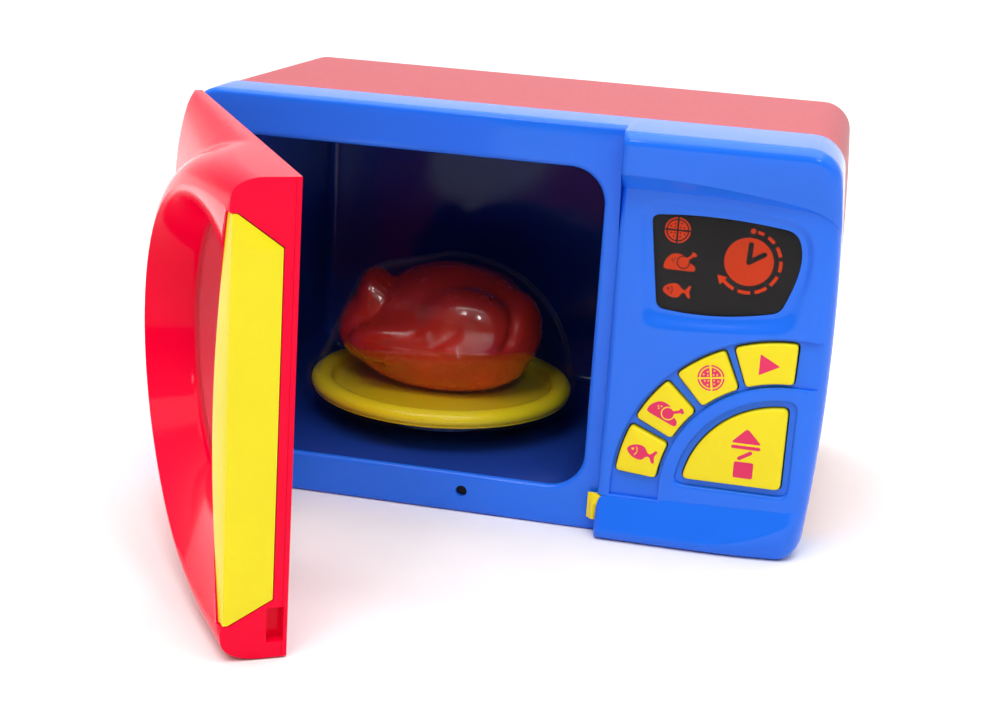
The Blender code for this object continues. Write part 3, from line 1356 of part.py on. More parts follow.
# The cover's radius at shares of its height, on its steep side
STEEP_SIDE_SHARES = ((0.0, 0.97), (0.45, 0.79), (0.806, 0.651), (0.91, 0.25), (1.0, 0.0))
COVER_LEVEL_SHARES = (0.0, 0.12, 0.25, 0.4, 0.55, 0.68, 0.79, 0.87, 0.93, 0.97)


def steep_share(level):
    for (low, near), (high, far) in zip(STEEP_SIDE_SHARES, STEEP_SIDE_SHARES[1:]):
        if level <= high:
            return mix(near, far, (level - low) / (high - low))
    return 0.0


def cover_ring(radius, level, z):
    """One ring of the food cover, round on one side and steep on the other."""
    ring = []
    for a, b in circle(1.0, ROUND_STEPS + 8):
        round_share = math.sqrt(max(0.0, 1 - level ** 2))
        share = mix(steep_share(level), round_share, (1 + a) / 2)
        ring.append(Vector((OUTPUT_PLACE[0] + radius * share * a, OUTPUT_PLACE[1] + radius * share * b, z)))
    return ring


def make_cover():
    """The clear food cover: a skirt round the plate's rim, a step that rests on it and a dome."""
    skirt_inner = PLATE_RADIUS + COVER_CLEARANCE
    skirt_outer = skirt_inner + COVER_WALL
    step_z = PLATE_TOP + GAP
    dome_outer = PLATE_RADIUS
    dome_inner = dome_outer - COVER_WALL
    rings = []
    for level in reversed(COVER_LEVEL_SHARES):
        rings.append(cover_ring(dome_inner, level, mix(step_z, COVER_TOP - COVER_WALL, level)))
    centre = (*OUTPUT_PLACE, 0)
    for radius, z in ((skirt_inner, step_z), (skirt_inner, COVER_BOTTOM),
                      (skirt_outer, COVER_BOTTOM), (skirt_outer, step_z + COVER_WALL)):
        rings.append([Vector((centre[0] + a, centre[1] + b, z)) for a, b in circle(radius, ROUND_STEPS + 8)])
    for level in COVER_LEVEL_SHARES:
        rings.append(cover_ring(dome_outer, level, mix(step_z + COVER_WALL, COVER_TOP, level)))
    return rings_body("food_cover", rings, "clear")


def make_battery_box():
    """An open tray behind the battery door, with a block above it for the door's screw."""
    low = (BATTERY_X - BOX_HALF_LENGTH - BOX_WALL, BOX_FRONT_Y - BOX_WALL, BOX_LOW_Z - BOX_WALL)
    high = (BATTERY_X + BOX_HALF_LENGTH + BOX_WALL, REAR_INNER_Y - GAP, BOX_HIGH_Z + BOX_WALL)
    tray = box("battery_box", low, high, "black")
    inner_low = (BATTERY_X - BOX_HALF_LENGTH, BOX_FRONT_Y, BOX_LOW_Z)
    inner_high = (BATTERY_X + BOX_HALF_LENGTH, REAR_INNER_Y + OVERRUN, BOX_HIGH_Z)
    cut(tray, box("tray_inside", inner_low, inner_high))
    block_low = (BATTERY_X - COVER_TAB / 2, BOX_FRONT_Y, BOX_HIGH_Z + BOX_WALL / 2)
    block_high = (BATTERY_X + COVER_TAB / 2, REAR_INNER_Y - GAP, DOOR_WAY_TOP - GAP)
    add(tray, box("screw_block", block_low, block_high))
    bore = SCREW_RADIUS + SCREW_CLEARANCE
    cut(tray, rod("block_bore", (BATTERY_X, 0, COVER_SCREW_Z), (0, 1, 0), bore,
                  REAR_Y - SCREW_LENGTH - OVERRUN, REAR_Y, steps=10))
    return tray


def make_battery_door():
    low = (BATTERY_X - BOX_HALF_LENGTH + GAP, REAR_INNER_Y, BOX_LOW_Z + GAP)
    high = (BATTERY_X + BOX_HALF_LENGTH - GAP, REAR_Y, DOOR_WAY_TOP - GAP)
    door = box("battery_door", low, high, "red")
    centre = (BATTERY_X, 0, COVER_SCREW_Z)
    seat = REAR_Y - SCREW_HEAD_HEIGHT / 2 - GAP
    cut(door, rod("door_screw_seat", centre, (0, 1, 0), COVER_SCREW_RADIUS + GAP, seat,
                  REAR_Y + OVERRUN, steps=14))
    cut(door, rod("door_screw_way", centre, (0, 1, 0), SCREW_RADIUS + SCREW_CLEARANCE,
                  REAR_INNER_Y - OVERRUN, REAR_Y, steps=10))
    head_start = seat + GAP
    profile = [(SCREW_RADIUS, REAR_Y - SCREW_LENGTH), (SCREW_RADIUS, head_start),
               (COVER_SCREW_RADIUS, head_start), (COVER_SCREW_RADIUS, REAR_Y)]
    screw = turned("battery_door_screw", centre, (0, 1, 0), profile, "steel", 14, 1.0)
    return [door, screw]


def battery_places():
    return [BATTERY_LOW_Z + BATTERY_PITCH * index for index in range(BATTERY_COUNT)]


def make_batteries():
    cells = []
    for index, z in enumerate(battery_places()):
        way = 1 if index % 2 == 0 else -1
        half = BATTERY_LENGTH / 2
        profile = [
            (BATTERY_RADIUS, -half), (BATTERY_RADIUS, half - BATTERY_NUB),
            (BATTERY_NUB_RADIUS, half - BATTERY_NUB), (BATTERY_NUB_RADIUS, half),
        ]
        centre = (BATTERY_X, FRONT_Y + BATTERY_DEPTH, z)
        cells.append(turned(f"battery_{index + 1}", centre, (way, 0, 0), profile, "copper", 20, 0.6))
    return cells


def make_contacts():
    """Short sprung contacts between each battery end and the tray's end walls."""
    length = BOX_END_ROOM - 2 * GAP
    y = FRONT_Y + BATTERY_DEPTH
    starts = (BATTERY_X - BOX_HALF_LENGTH + GAP, BATTERY_X + BATTERY_LENGTH / 2 + GAP)
    contacts = []
    for index, z in enumerate(battery_places()):
        for side, x in zip(("left", "right"), starts):
            contacts.append(rod(f"battery_contact_{side}_{index + 1}", (x, y, z), (1, 0, 0),
                                BATTERY_NUB_RADIUS, 0.0, length, "steel", steps=8, metallic=1.0))
    return contacts


def make_case_screws():
    seat = FRONT_Y + BOSS_FLOOR_Y + GAP
    profile = [(SCREW_RADIUS, -SCREW_LENGTH), (SCREW_RADIUS, 0.0),
               (SCREW_HEAD_RADIUS, 0.0), (SCREW_HEAD_RADIUS, SCREW_HEAD_HEIGHT)]
    return [turned(f"case_screw_{index + 1}", (x, seat, z), (0, 1, 0), profile, "steel", 10, 1.0)
            for index, (x, z) in enumerate(BOSS_PLACES)]


def make_speaker():
    """A small loudspeaker behind the holes in the rear wall."""
    rear = REAR_INNER_Y - GAP
    magnet = SPEAKER_RADIUS - SPEAKER_CONE * 2
    profile = [
        (magnet, rear - SPEAKER_DEPTH), (magnet, rear - SPEAKER_DEPTH + SPEAKER_CONE),
        (SPEAKER_RADIUS, rear - SPEAKER_CONE), (SPEAKER_RADIUS, rear),
    ]
    return turned("speaker", (SPEAKER_X, 0, SPEAKER_Z), (0, 1, 0), profile, "black", 24)


def make_door_switch():
    """The switch behind the frame's hole, which the door's peg presses."""
    x = HINGE_X + PEG_U
    y = FRONT_Y + WALL + GAP
    low = (x - SWITCH_WIDTH / 2, y, PEG_Z - SWITCH_HEIGHT / 2)
    high = (x + SWITCH_WIDTH / 2, y + SWITCH_DEPTH, PEG_Z + SWITCH_HEIGHT / 2)
    return box("door_switch", low, high, "black")


def main():
    clear_scene()
    make_front_housing()
    make_rear_housing()
    make_liner()
    make_display()
    make_fan_keys()
    make_open_key()
    make_latch()
    make_board()
    make_door()
    make_hinge_pins()
    make_gears()
    make_motor()
    make_hub()
    make_plate()
    make_food()
    make_cover()
    make_battery_box()
    make_battery_door()
    make_batteries()
    make_contacts()
    make_case_screws()
    make_speaker()
    make_door_switch()


main()
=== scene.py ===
"""Looks of a toy microwave oven: studio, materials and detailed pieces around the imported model.

Metres, +Z up, the oven's front toward -Y. Each visible piece rides on the body that it belongs to.
"""

import json
import math

import bmesh
import bpy
import numpy as np
from mathutils import Matrix, Vector

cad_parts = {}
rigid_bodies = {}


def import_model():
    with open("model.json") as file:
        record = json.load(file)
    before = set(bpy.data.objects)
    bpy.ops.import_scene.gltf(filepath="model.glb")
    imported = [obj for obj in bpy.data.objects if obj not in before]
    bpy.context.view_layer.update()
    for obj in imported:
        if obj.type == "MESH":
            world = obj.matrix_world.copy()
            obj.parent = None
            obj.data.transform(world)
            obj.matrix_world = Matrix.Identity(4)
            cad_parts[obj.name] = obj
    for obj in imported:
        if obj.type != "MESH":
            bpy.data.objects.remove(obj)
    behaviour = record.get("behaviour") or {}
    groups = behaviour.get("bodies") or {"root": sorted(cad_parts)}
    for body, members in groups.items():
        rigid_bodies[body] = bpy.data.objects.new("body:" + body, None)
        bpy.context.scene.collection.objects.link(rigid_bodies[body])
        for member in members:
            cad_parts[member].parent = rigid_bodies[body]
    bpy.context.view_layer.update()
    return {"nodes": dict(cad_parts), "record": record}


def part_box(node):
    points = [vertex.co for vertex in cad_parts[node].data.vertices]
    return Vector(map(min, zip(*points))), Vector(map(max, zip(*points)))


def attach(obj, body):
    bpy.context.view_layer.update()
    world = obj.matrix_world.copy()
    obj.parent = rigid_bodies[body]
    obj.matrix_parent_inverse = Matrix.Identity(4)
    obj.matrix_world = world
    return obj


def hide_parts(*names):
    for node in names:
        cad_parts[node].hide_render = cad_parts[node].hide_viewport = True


for item in list(bpy.data.objects):
    bpy.data.objects.remove(item, do_unlink=True)

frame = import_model()

# Housing
HOUSING_HEIGHT = 0.174
HOUSING_DEPTH = 0.159
HALF_WIDTH = 0.135
SIDE_BULGE = 0.0045
CORNER_RADIUS = 0.012
EDGE_RADIUS = 0.0025
FRONT_SHELL_DEPTH = 0.02465
WALL = 0.0024
GAP = 0.0003
OVERRUN = 0.002
REAR_EDGE_RADIUS = 0.006
REAR_TOP_FALL = 0.004
REAR_SIDE_TAPER = 0.001
FRONT_Y = -HOUSING_DEPTH / 2

# Oven mouth and liner
SIDE_FRAME = 0.014
OPENING_LEFT = SIDE_FRAME - HALF_WIDTH
PANEL_WIDTH = 0.08525
PANEL_LEFT = HALF_WIDTH - PANEL_WIDTH
PANEL_FRAME = 0.0074
OPENING_RIGHT = PANEL_LEFT - PANEL_FRAME
OPENING_BOTTOM = 0.0178
TOP_FRAME = 0.0186
OPENING_TOP = HOUSING_HEIGHT - TOP_FRAME
OPENING_RADIUS = 0.015
LINER_TAPER = 0.002
LINER_WALL = 0.002

# Control panel: chin, ledge, band, brow and nose, from its foot to its top
PANEL_DRAFT = 0.0002
PANEL_RAISE = 0.006
PANEL_SIDE_RADIUS = 0.009
PANEL_CORNER_RADIUS = 0.0125
CHIN_RAISE = 0.0104
CHIN_HEIGHT = 0.0045
CHIN_RISE = 0.016
CHIN_ROUND = 0.0044
LEDGE_HEIGHT = 0.0195
LEDGE_RISE = 0.0025
BAND_DROP = 0.0237
BAND_HEIGHT = HOUSING_HEIGHT - BAND_DROP
BAND_FALL = 0.0037
BROW_DROP = 0.017
BROW_HEIGHT = HOUSING_HEIGHT - BROW_DROP
BROW_FALL = 0.0104
BROW_RAISE = 0.0146
NOSE_RAISE = 0.0154
NOSE_DROP = 0.0052
NOSE_HEIGHT = HOUSING_HEIGHT - NOSE_DROP
NOSE_ROUND = 0.0054

# Display card and keys
CARD_THICKNESS = 0.0008
CARD_LAP = 0.0015
FAN_INSET = 0.010
FAN_X = HALF_WIDTH - FAN_INSET
FAN_Z = 0.025
FAN_OUTER = 0.0685
FAN_INNER = 0.0515
BAND_MARGIN = 0.0015
POCKET_BOTTOM = 0.0197
KEY_FLANGE = 0.001
OPEN_KEY_RADIUS = 0.041
OPEN_KEY_BOTTOM = 0.031
OPEN_KEY_MARGIN = 0.003
OPEN_KEY_TRAVEL = 0.004
FAN_KEY_DEGREES = {
    "key_start": (89.0, 110.5),
    "key_pizza": (114.0, 132.5),
    "key_chicken": (136.8, 154.0),
    "key_fish": (157.3, 175.0),
}

# Door
HINGE_INSET = 0.003
HINGE_X = HINGE_INSET - HALF_WIDTH
HINGE_SETBACK = 0.003
DOOR_GAP = 0.001
DOOR_OPEN_DEGREES = 58.9
DOOR_NOSE = 0.0022
DOOR_RIM = 0.003
DOOR_END_GAP = 0.00075
DOOR_LENGTH = PANEL_LEFT - HINGE_X - DOOR_END_GAP
DOOR_BOTTOM = 0.0007
DOOR_DROP = 0.0016
DOOR_TOP = HOUSING_HEIGHT - DOOR_DROP
DOOR_THIN = 0.012
DOOR_THICK = 0.023
DOOR_WALL = 0.0024
DOOR_NOSE_RADIUS = 0.008
DOOR_SHOULDER_HINGE = 0.045
DOOR_SHOULDER_FREE = 0.012
CREST_INSET = 0.016
CREST_U = DOOR_LENGTH - CREST_INSET
CREST_Z = 0.087
CREST_LENGTH = 0.131
CREST_HEIGHT = 0.075
CREST_RAISE = 0.0285
CREST_RAISE_FREE = 0.024
CREST_SKIRT = 0.015
WINDOW_U = 0.092
WINDOW_Z = 0.089
WINDOW_RADIUS = 0.049
WINDOW_RAISE = 0.010
WINDOW_THICKNESS = 0.0016
DOOR_CREST_LIMIT_SHARE = 0.96
DOOR_SIDE_STEPS = 56
RAY_HALVINGS = 24
COLLAR_WALL = 0.002
HANDLE_DEPTH = 0.012
HANDLE_THICKNESS = 0.0032
HANDLE_BACK = 0.0055
HANDLE_TIP = 0.0038
HANDLE_TIP_RUN = 0.0117
HANDLE_FOOT_RUN = 0.0088
HANDLE_TIP_THICKNESS = 0.0012
HANDLE_FACE_SHARE = 0.75
INNER_PANEL_THICKNESS = 0.002
INNER_PANEL_MARGIN = 0.006
PEG_U = 0.1224
PEG_Z = 0.0099
PEG_RADIUS = 0.0015
PEG_LENGTH = 0.003
PEG_HOLE_RADIUS = 0.0025

# Hinge lugs and pins
LUG_HEIGHT = 0.006
LUG_DROP = 0.024
LUG_UPPER_Z = HOUSING_HEIGHT - LUG_DROP
LUG_LOWER_Z = 0.018
LUG_RADIUS = 0.003
PIN_RADIUS = 0.0013
PIN_REACH = 0.003
RUNNING_GAP = 0.0001
NOTCH_GAP = 0.0005
NOTCH_SIDE_GAP = 0.0012

# Latch, and the open key's stem that draws it in
LATCH_TIP = 0.0040
LATCH_TRAVEL = 0.005
LATCH_FRONT = -0.0057
LATCH_THICKNESS = 0.003
LATCH_BOTTOM = 0.0075
LATCH_SLOT_MARGIN = 0.001
LATCH_TAB_INSET = 0.0245
LATCH_TAB_X = FAN_X - LATCH_TAB_INSET
STEM_INSET = 0.033
STEM_X = FAN_X - STEM_INSET
STEM_WIDTH = 0.006
STEM_Z = 0.033
STEM_HEIGHT = 0.006
STEM_REACH = 0.0023

# Screw bosses and screws
BOSS_INSET_X = 0.0105
BOSS_INSET_Z = 0.0105
BOSS_RADIUS = 0.0044
BOSS_BORE_RADIUS = 0.003
BOSS_FLOOR_Y = 0.0405
BOSS_FLOOR = 0.0025
SCREW_HEAD_RADIUS = 0.0026
SCREW_HEAD_HEIGHT = 0.002
SCREW_RADIUS = 0.0012
SCREW_LENGTH = 0.012
SCREW_CLEARANCE = 0.0002
HEAD_EDGE_SHARE = 0.3
HEAD_TURN_SHARE = 0.96
CROSS_LENGTH_SHARE = 0.62
CROSS_WIDTH_SHARE = 0.14
CROSS_DEPTH_SHARE = 0.6

# Turntable, plate and cover
TURNTABLE_SHIFT = 0.001325
TURNTABLE_X = (OPENING_LEFT + OPENING_RIGHT) / 2 + TURNTABLE_SHIFT
TURNTABLE_FORWARD = 0.0035
SPINDLE_RADIUS = 0.004
SPINDLE_TOP = 0.022
HUB_BASE_RADIUS = 0.030
HUB_TOP_RADIUS = 0.024
PLATE_ROOM = 0.020675
PLATE_RADIUS = (OPENING_RIGHT - OPENING_LEFT) / 2 - PLATE_ROOM
PLATE_BOTTOM = 0.030
PLATE_TOP = 0.0378
PLATE_WALL = 0.002
COVER_CLEARANCE = 0.0008
COVER_WALL = 0.0012
COVER_BOTTOM = 0.0305
COVER_TOP = 0.096

# Battery way and its cover
BATTERY_RADIUS = 0.00725
BATTERY_INSET = 0.0465
BATTERY_X = HALF_WIDTH - BATTERY_INSET
BATTERY_PITCH = 0.015
BATTERY_LOW_Z = 0.020
BATTERY_COUNT = 3
BOX_WALL = 0.0015
BOX_CLEARANCE = 0.0005
COVER_TAB = 0.008
COVER_SCREW_RADIUS = 0.0028

# Speaker holes
SPEAKER_INSET = 0.043
SPEAKER_X = HALF_WIDTH - SPEAKER_INSET
SPEAKER_DROP = 0.054
SPEAKER_Z = HOUSING_HEIGHT - SPEAKER_DROP
GRILLE_HOLE_RADIUS = 0.00125
GRILLE_PITCH = 0.0065
GRILLE_RINGS = 2

# Steps and small rounds of the finer pieces
ROUND_STEPS = 48
SMOOTH_ANGLE = math.radians(35)
SOFT_ANGLE = math.radians(30)
TURNTABLE_Y = -TURNTABLE_FORWARD
TURNTABLE_CENTRE = (TURNTABLE_X, TURNTABLE_Y, 0)
RIM_ROUND = 0.0018
RECESS_ROUND = 0.0007
KEY_CORNER = 0.0019
OPEN_CORNER = 0.0026
KEY_SHADOW = 0.0006
TONGUE_HEIGHT = 0.011
HANDLE_CROWN = 0.0006
HANDLE_LIP = 0.0006
CREASE_ROUND = 0.0005

# Shares at which the front's and the panel's surfaces are sampled
EDGE_SHARES = (0.0, 0.04, 0.15, 0.35, 0.65, 1.0)
CORNER_SHARES = (0.3, 0.42, 0.55, 0.7, 0.85, 1.0)
FRAME_SHARES = tuple(step / 12 for step in range(1, 12))
PANEL_SHARES = (0.08, 0.16, 0.25, 0.34, 0.43, 0.52, 0.6, 0.68, 0.76, 0.81)
CHIN_SHARES = (0.0, 0.03, 0.15, 0.4, 0.7, 0.9, 0.98, 1.0)
BROW_SHARES = (0.0, 0.06, 0.5, 0.94, 1.0)
SIDE_ROUND_SHARES = (1.0, 0.85, 0.7, 0.55, 0.42, 0.3, 0.2, 0.12, 0.05, 0.015, 0.0)
FACE_COLUMNS = 14
FRAME_COLUMNS = 38
CHIN_BEND_SHARE = 0.5
LEDGE_CLEARANCE = 0.005

# Places that follow from the sizes above
FACE_Y = FRONT_Y - PANEL_RAISE
FACE_INNER_Y = FACE_Y + WALL
REAR_Y = FRONT_Y + HOUSING_DEPTH
HINGE_Y = FRONT_Y - DOOR_GAP - HINGE_SETBACK
BOSS_X = HALF_WIDTH - BOSS_INSET_X
BOSS_HEIGHTS = (BOSS_INSET_Z, HOUSING_HEIGHT - BOSS_INSET_Z)
BOSS_PLACES = [(x, z) for x in (-BOSS_X, BOSS_X) for z in BOSS_HEIGHTS]
BOSS_FRONT_Y = FRONT_Y + BOSS_FLOOR_Y - BOSS_FLOOR
BOX_HIGH_Z = BATTERY_LOW_Z + BATTERY_PITCH * (BATTERY_COUNT - 1) + BATTERY_RADIUS + BOX_CLEARANCE
DOOR_WAY_TOP = BOX_HIGH_Z + BOX_WALL + COVER_TAB
COVER_SCREW_Z = DOOR_WAY_TOP - COVER_TAB / 2
RAMP_RISE = OPEN_KEY_TRAVEL / LATCH_TRAVEL
STEM_END_Y = FRONT_Y + STEM_REACH

# Shares at which the door's face is sampled
SLOPE_SHARES = (0.0, 0.1, 0.22, 0.36, 0.5, 0.64, 0.77, 0.88, 0.96, 1.0)
SKIRT_SHARES = (0.1, 0.25, 0.4, 0.55, 0.7, 0.85, 1.0)
SHEET_SHARES = (0.15, 0.3, 0.45, 0.58, 0.7, 0.8, 0.88, 0.94, 0.98, 1.0)
SKIRT_LIMIT_SHARE = 0.9

# The cover's steep side: reach at shares of its height
STEEP_SIDE_SHARES = ((0.0, 0.97), (0.45, 0.79), (0.806, 0.651), (0.91, 0.25), (1.0, 0.0))

# How the keys, wells, glass and card lie against the panel's face
KEY_PROUD = 0.0007
KEY_FACE_Y = FACE_Y - KEY_PROUD
WELL_DEPTH = 0.002
WELL_Y = FACE_Y + WELL_DEPTH
GLASS_DEPTH = 0.0019
GLASS_Y = FACE_Y + GLASS_DEPTH
CARD_SETBACK = 0.0016
CARD_Y = GLASS_Y + CARD_SETBACK

# Rear case, door seam, cover and prints
CASE_ARC_STEPS = 10
CASE_SIDE_STEPS = 14
CELL_ROOM = 0.0003
SEAM_SETBACK = 0.0021
COVER_STEPS = 128
COVER_ROWS = 40
GROOVE_PITCH = 0.002
GROOVE_REACH = 0.012
PRINT_LIFT = 0.00003

# The plate's profile, as shares of its radius and height
PLATE_PROFILE_SHARES = (
    (0.80, 0.0), (0.955, 0.02), (0.975, 0.07), (0.984, 0.14), (0.9835, 0.18), (0.976, 0.2),
    (0.977, 0.22), (0.988, 0.25), (0.997, 0.36), (1.0, 0.5), (0.996, 0.66), (0.984, 0.8),
    (0.966, 0.91), (0.942, 0.98), (0.915, 1.0), (0.888, 0.98), (0.866, 0.92), (0.85, 0.82),
    (0.84, 0.68), (0.833, 0.52), (0.822, 0.38), (0.806, 0.29), (0.785, 0.255), (0.74, 0.25),
)

# Small sizes of the panel, the latch pocket, the keys and the dish
CREASE_EASE = 0.0004
BROW_LIP = 0.0002
NOSE_BULGE_SHARE = 0.63
POCKET_FRONT = 0.0075
POCKET_BACK = 0.0014
KEY_CROWN = 0.00012
KEY_CROWN_INSET = 0.0042
KEY_ROUNDING = 0.0011
GLASS_CORNER = 0.0032
DISH_CORNER = 0.0085
DISH_LIP = 0.0009
DISH_FOOT = 0.0007
DISH_EASE = 0.75
GLASS_GAP = 0.0001
PANE_PROFILE = ((-0.0006, 0.0), (-0.0002, 0.0001), (-0.00005, 0.0004), (-0.00005, 0.0014))
TONGUE_FIT = CREASE_ROUND / 5

# Directions
UP = (0, 0, 1)
REARWARD = (0, 1, 0)
FORWARD = (0, -1, 0)


SURFACES = {}


def feed(target, **sockets):
    """Give a node's sockets their values, or link them where the output of a node is given."""
    for key, value in sockets.items():
        socket = target.inputs[key.replace("_", " ")]
        if isinstance(value, bpy.types.NodeSocket):
            target.id_data.links.new(value, socket)
        else:
            socket.default_value = value


def add_node(tree, kind, **sockets):
    made = tree.nodes.new("ShaderNode" + kind)
    feed(made, **sockets)
    return made


class Finish:
    """A new material: its main shader, and noises over the object's own coordinates to vary it."""

    def __init__(self, name):
        made = bpy.data.materials.new(name)
        made.use_nodes = True
        SURFACES[name] = made
        self.tree = made.node_tree
        self.shader = self.tree.nodes["Principled BSDF"]
        self.place = add_node(self.tree, "TexCoord").outputs["Object"]

    def noise(self, scale, detail=3.0, stretch=None):
        """Noise over the surface, drawn out along an axis where asked."""
        source = self.place
        if stretch:
            source = add_node(self.tree, "Mapping", Vector=source, Scale=stretch).outputs["Vector"]
        return add_node(self.tree, "TexNoise", Vector=source, Scale=scale, Detail=detail).outputs["Fac"]

    def spread(self, value, low, high, start=0.3, end=0.7):
        """Carry a value over from one range to another."""
        made = add_node(self.tree, "MapRange", Value=value, From_Min=start, From_Max=end, To_Min=low,
                        To_Max=high)
        return made.outputs["Result"]

    def join(self, operation, first, second):
        made = add_node(self.tree, "Math")
        made.operation = operation
        for socket, value in zip(made.inputs, (first, second)):
            self.tree.links.new(value, socket)
        return made.outputs["Value"]

    def tint(self, colour, factor):
        """The base colour, made lighter and darker by a factor."""
        made = add_node(self.tree, "VectorMath")
        made.operation = "SCALE"
        made.inputs[0].default_value = colour
        feed(made, Scale=factor)
        feed(self.shader, Base_Color=made.outputs["Vector"])

    def relief(self, height, strength, distance):
        bump = add_node(self.tree, "Bump", Strength=strength, Distance=distance, Height=height)
        feed(self.shader, Normal=bump.outputs["Normal"])


def plastic(name, colour, roughness=0.16, mottle=0.02, grain=0.03, coat=0.04, soft=0.0, scuffs=0.02,
            shine=0.18):
    """Moulded plastic: faint mottling, a fine moulded grain, handling scuffs and a gloss coat."""
    made = Finish(name)
    made.tint(colour, made.spread(made.noise(28.0, 4.0), 1 - mottle, 1 + mottle))
    made.relief(made.noise(1500.0, 2.0), grain, 0.0002)
    smudges = made.spread(made.noise(55.0, 6.0), roughness * 0.8, roughness * 1.25)
    wear = made.spread(made.noise(60.0, 2.0, (1.0, 14.0, 40.0)), 0.0, scuffs, 0.62, 0.72)
    feed(made.shader, Roughness=made.join("ADD", smudges, wear), Specular_IOR_Level=shine,
         Coat_Weight=coat, Coat_Roughness=0.06, Subsurface_Weight=soft,
         Subsurface_Radius=(0.004, 0.002, 0.001), Subsurface_Scale=0.5)


def clear_plastic(name, colour, roughness=0.02, ripple=0.03, ior=1.45, outline_alpha_and_sheen=None):
    """Clear polished plastic with faint flow lines and finger marks; where an outline alpha is given, it
    grows more opaque toward its outline and its colour turns pale there as a painted sheen.
    """
    made = Finish(name)
    made.relief(made.noise(60.0, 1.0), ripple, 0.0003)
    feed(made.shader, Roughness=made.spread(made.noise(70.0, 5.0), roughness, roughness * 3), IOR=ior)
    if outline_alpha_and_sheen:
        # Thin clear plastic: nearly bare face on, more opaque where it is seen along its wall, and pale there
        # in a painted sheen that stands in for the reflections along its outline.
        facing = add_node(made.tree, "LayerWeight", Blend=0.5).outputs["Facing"]
        feed(made.shader, Alpha=made.spread(facing, *outline_alpha_and_sheen, 0.72, 1.0))
        # Painted sheen: the base colour turns pale toward the outline, by how the surface faces the view.
        made.tint(colour, made.spread(facing, 0.05, 1.0, 0.72, 1.0))
    else:
        made.tint(colour, made.spread(made.noise(30.0), 0.97, 1.0))
        feed(made.shader, Transmission_Weight=1.0)


def red_satin():
    """The red housing: moulded plastic with an even satin grain all over."""
    made = Finish("red")
    made.tint((0.46, 0.014, 0.034), made.spread(made.noise(900.0, 2.0), 0.97, 1.03))
    made.relief(made.noise(1500.0, 2.0), 0.05, 0.0002)
    marks = made.spread(made.noise(700.0, 2.0), 0.4, 0.44)
    feed(made.shader, Roughness=marks, Specular_IOR_Level=0.62)


def metal(name, colour, roughness=0.25):
    """Plated or drawn metal with fine marks along one way and dulled patches."""
    stretch = (1.0, 1.0, 30.0)
    made = Finish(name)
    made.tint(colour, made.spread(made.noise(120.0, 4.0), 0.82, 1.08))
    made.relief(made.noise(900.0, 2.0, stretch), 0.15, 0.0001)
    dulled = made.spread(made.noise(400.0, 4.0, stretch), roughness * 0.6, roughness * 1.5)
    feed(made.shader, Roughness=dulled, Metallic=1.0)


def roast_skin():
    """Painted roast skin: darker on its back, pebbled below the seam, glossy all over."""
    made = Finish("roast")
    height = add_node(made.tree, "SeparateXYZ", Vector=made.place).outputs["Z"]
    darker = made.spread(height, 1.25, 0.5, 0.035, 0.085)
    clouds = made.spread(made.noise(45.0, 5.0), 0.8, 1.2)
    made.tint((0.56, 0.022, 0.007), made.join("MULTIPLY", darker, clouds))
    pebbles = add_node(made.tree, "TexVoronoi", Vector=made.place, Scale=330.0)
    pebbles.feature = "SMOOTH_F1"
    below = made.spread(height, 0.5, 0.05, 0.056, 0.058)
    coarse = add_node(made.tree, "Bump", Strength=below, Distance=0.0012,
                      Height=pebbles.outputs["Distance"])
    fine = add_node(made.tree, "Bump", Strength=0.15, Distance=0.0006, Height=made.noise(240.0, 4.0),
                    Normal=coarse.outputs["Normal"])
    feed(made.shader, Normal=fine.outputs["Normal"], Coat_Weight=0.8, Coat_Roughness=0.05,
         Roughness=made.spread(made.noise(90.0, 4.0), 0.12, 0.3))


def make_surfaces():
    plastic("royal_blue", (0.013, 0.155, 0.84), 0.12, shine=0.3)
    # The liner's navy is the housing's blue darkened as painted shade for the inside of the oven's cavity.
    plastic("navy_blue", (0.012, 0.048, 0.32), 0.1, mottle=0.06)
    red_satin()
    plastic("magenta_red", (0.9, 0.0004, 0.034), 0.1, coat=0.0, shine=0.09)
    plastic("yellow", (0.86, 0.72, 0.012), 0.2, soft=0.05)
    plastic("plate_yellow", (0.86, 0.7, 0.012), 0.1, soft=0.05, shine=0.3)
    plastic("white", (0.78, 0.78, 0.75), 0.3, grain=0.1)
    plastic("white_rubber", (0.72, 0.73, 0.72), 0.55, grain=0.2, coat=0.0)
    plastic("black", (0.014, 0.013, 0.013), 0.45, mottle=0.15, coat=0.0)
    plastic("grey", (0.2, 0.2, 0.21), 0.4, grain=0.12)
    plastic("print_red", (0.74, 0.03, 0.12), 0.35, mottle=0.06, coat=0.1, scuffs=0.1)
    plastic("print_orange", (0.80, 0.06, 0.012), 0.5, mottle=0.06, coat=0.0, scuffs=0.1, shine=0.1)
    plastic("print_ink", (0.03, 0.02, 0.018), 0.4, mottle=0.2)
    plastic("floor", (0.86, 0.86, 0.86), 0.55, mottle=0.01, grain=0.02, coat=0.0, scuffs=0.0)
    # The clear plastic's pale outline is a painted sheen.
    clear_plastic("clear", (0.6, 0.6, 0.62), outline_alpha_and_sheen=(0.05, 0.42))
    clear_plastic("display_clear", (0.95, 0.95, 0.96), 0.02, 0.0, 1.1)
    clear_plastic("lamp_clear", (1.0, 0.82, 0.6), 0.1)
    metal("steel", (0.62, 0.62, 0.64))
    metal("brass", (0.75, 0.5, 0.2))
    metal("motor_can", (0.6, 0.6, 0.62), 0.3)
    plastic("cell", (0.55, 0.28, 0.06), 0.25, mottle=0.05)
    plastic("green", (0.012, 0.2, 0.05), 0.3, mottle=0.12, grain=0.15)
    plastic("brown", (0.40, 0.05, 0.012), 0.16, mottle=0.2)
    roast_skin()


def placed(name, data):
    """A new object of the scene for a mesh, a curve, a light or a camera."""
    made = bpy.data.objects.new(name, data)
    bpy.context.scene.collection.objects.link(made)
    return made


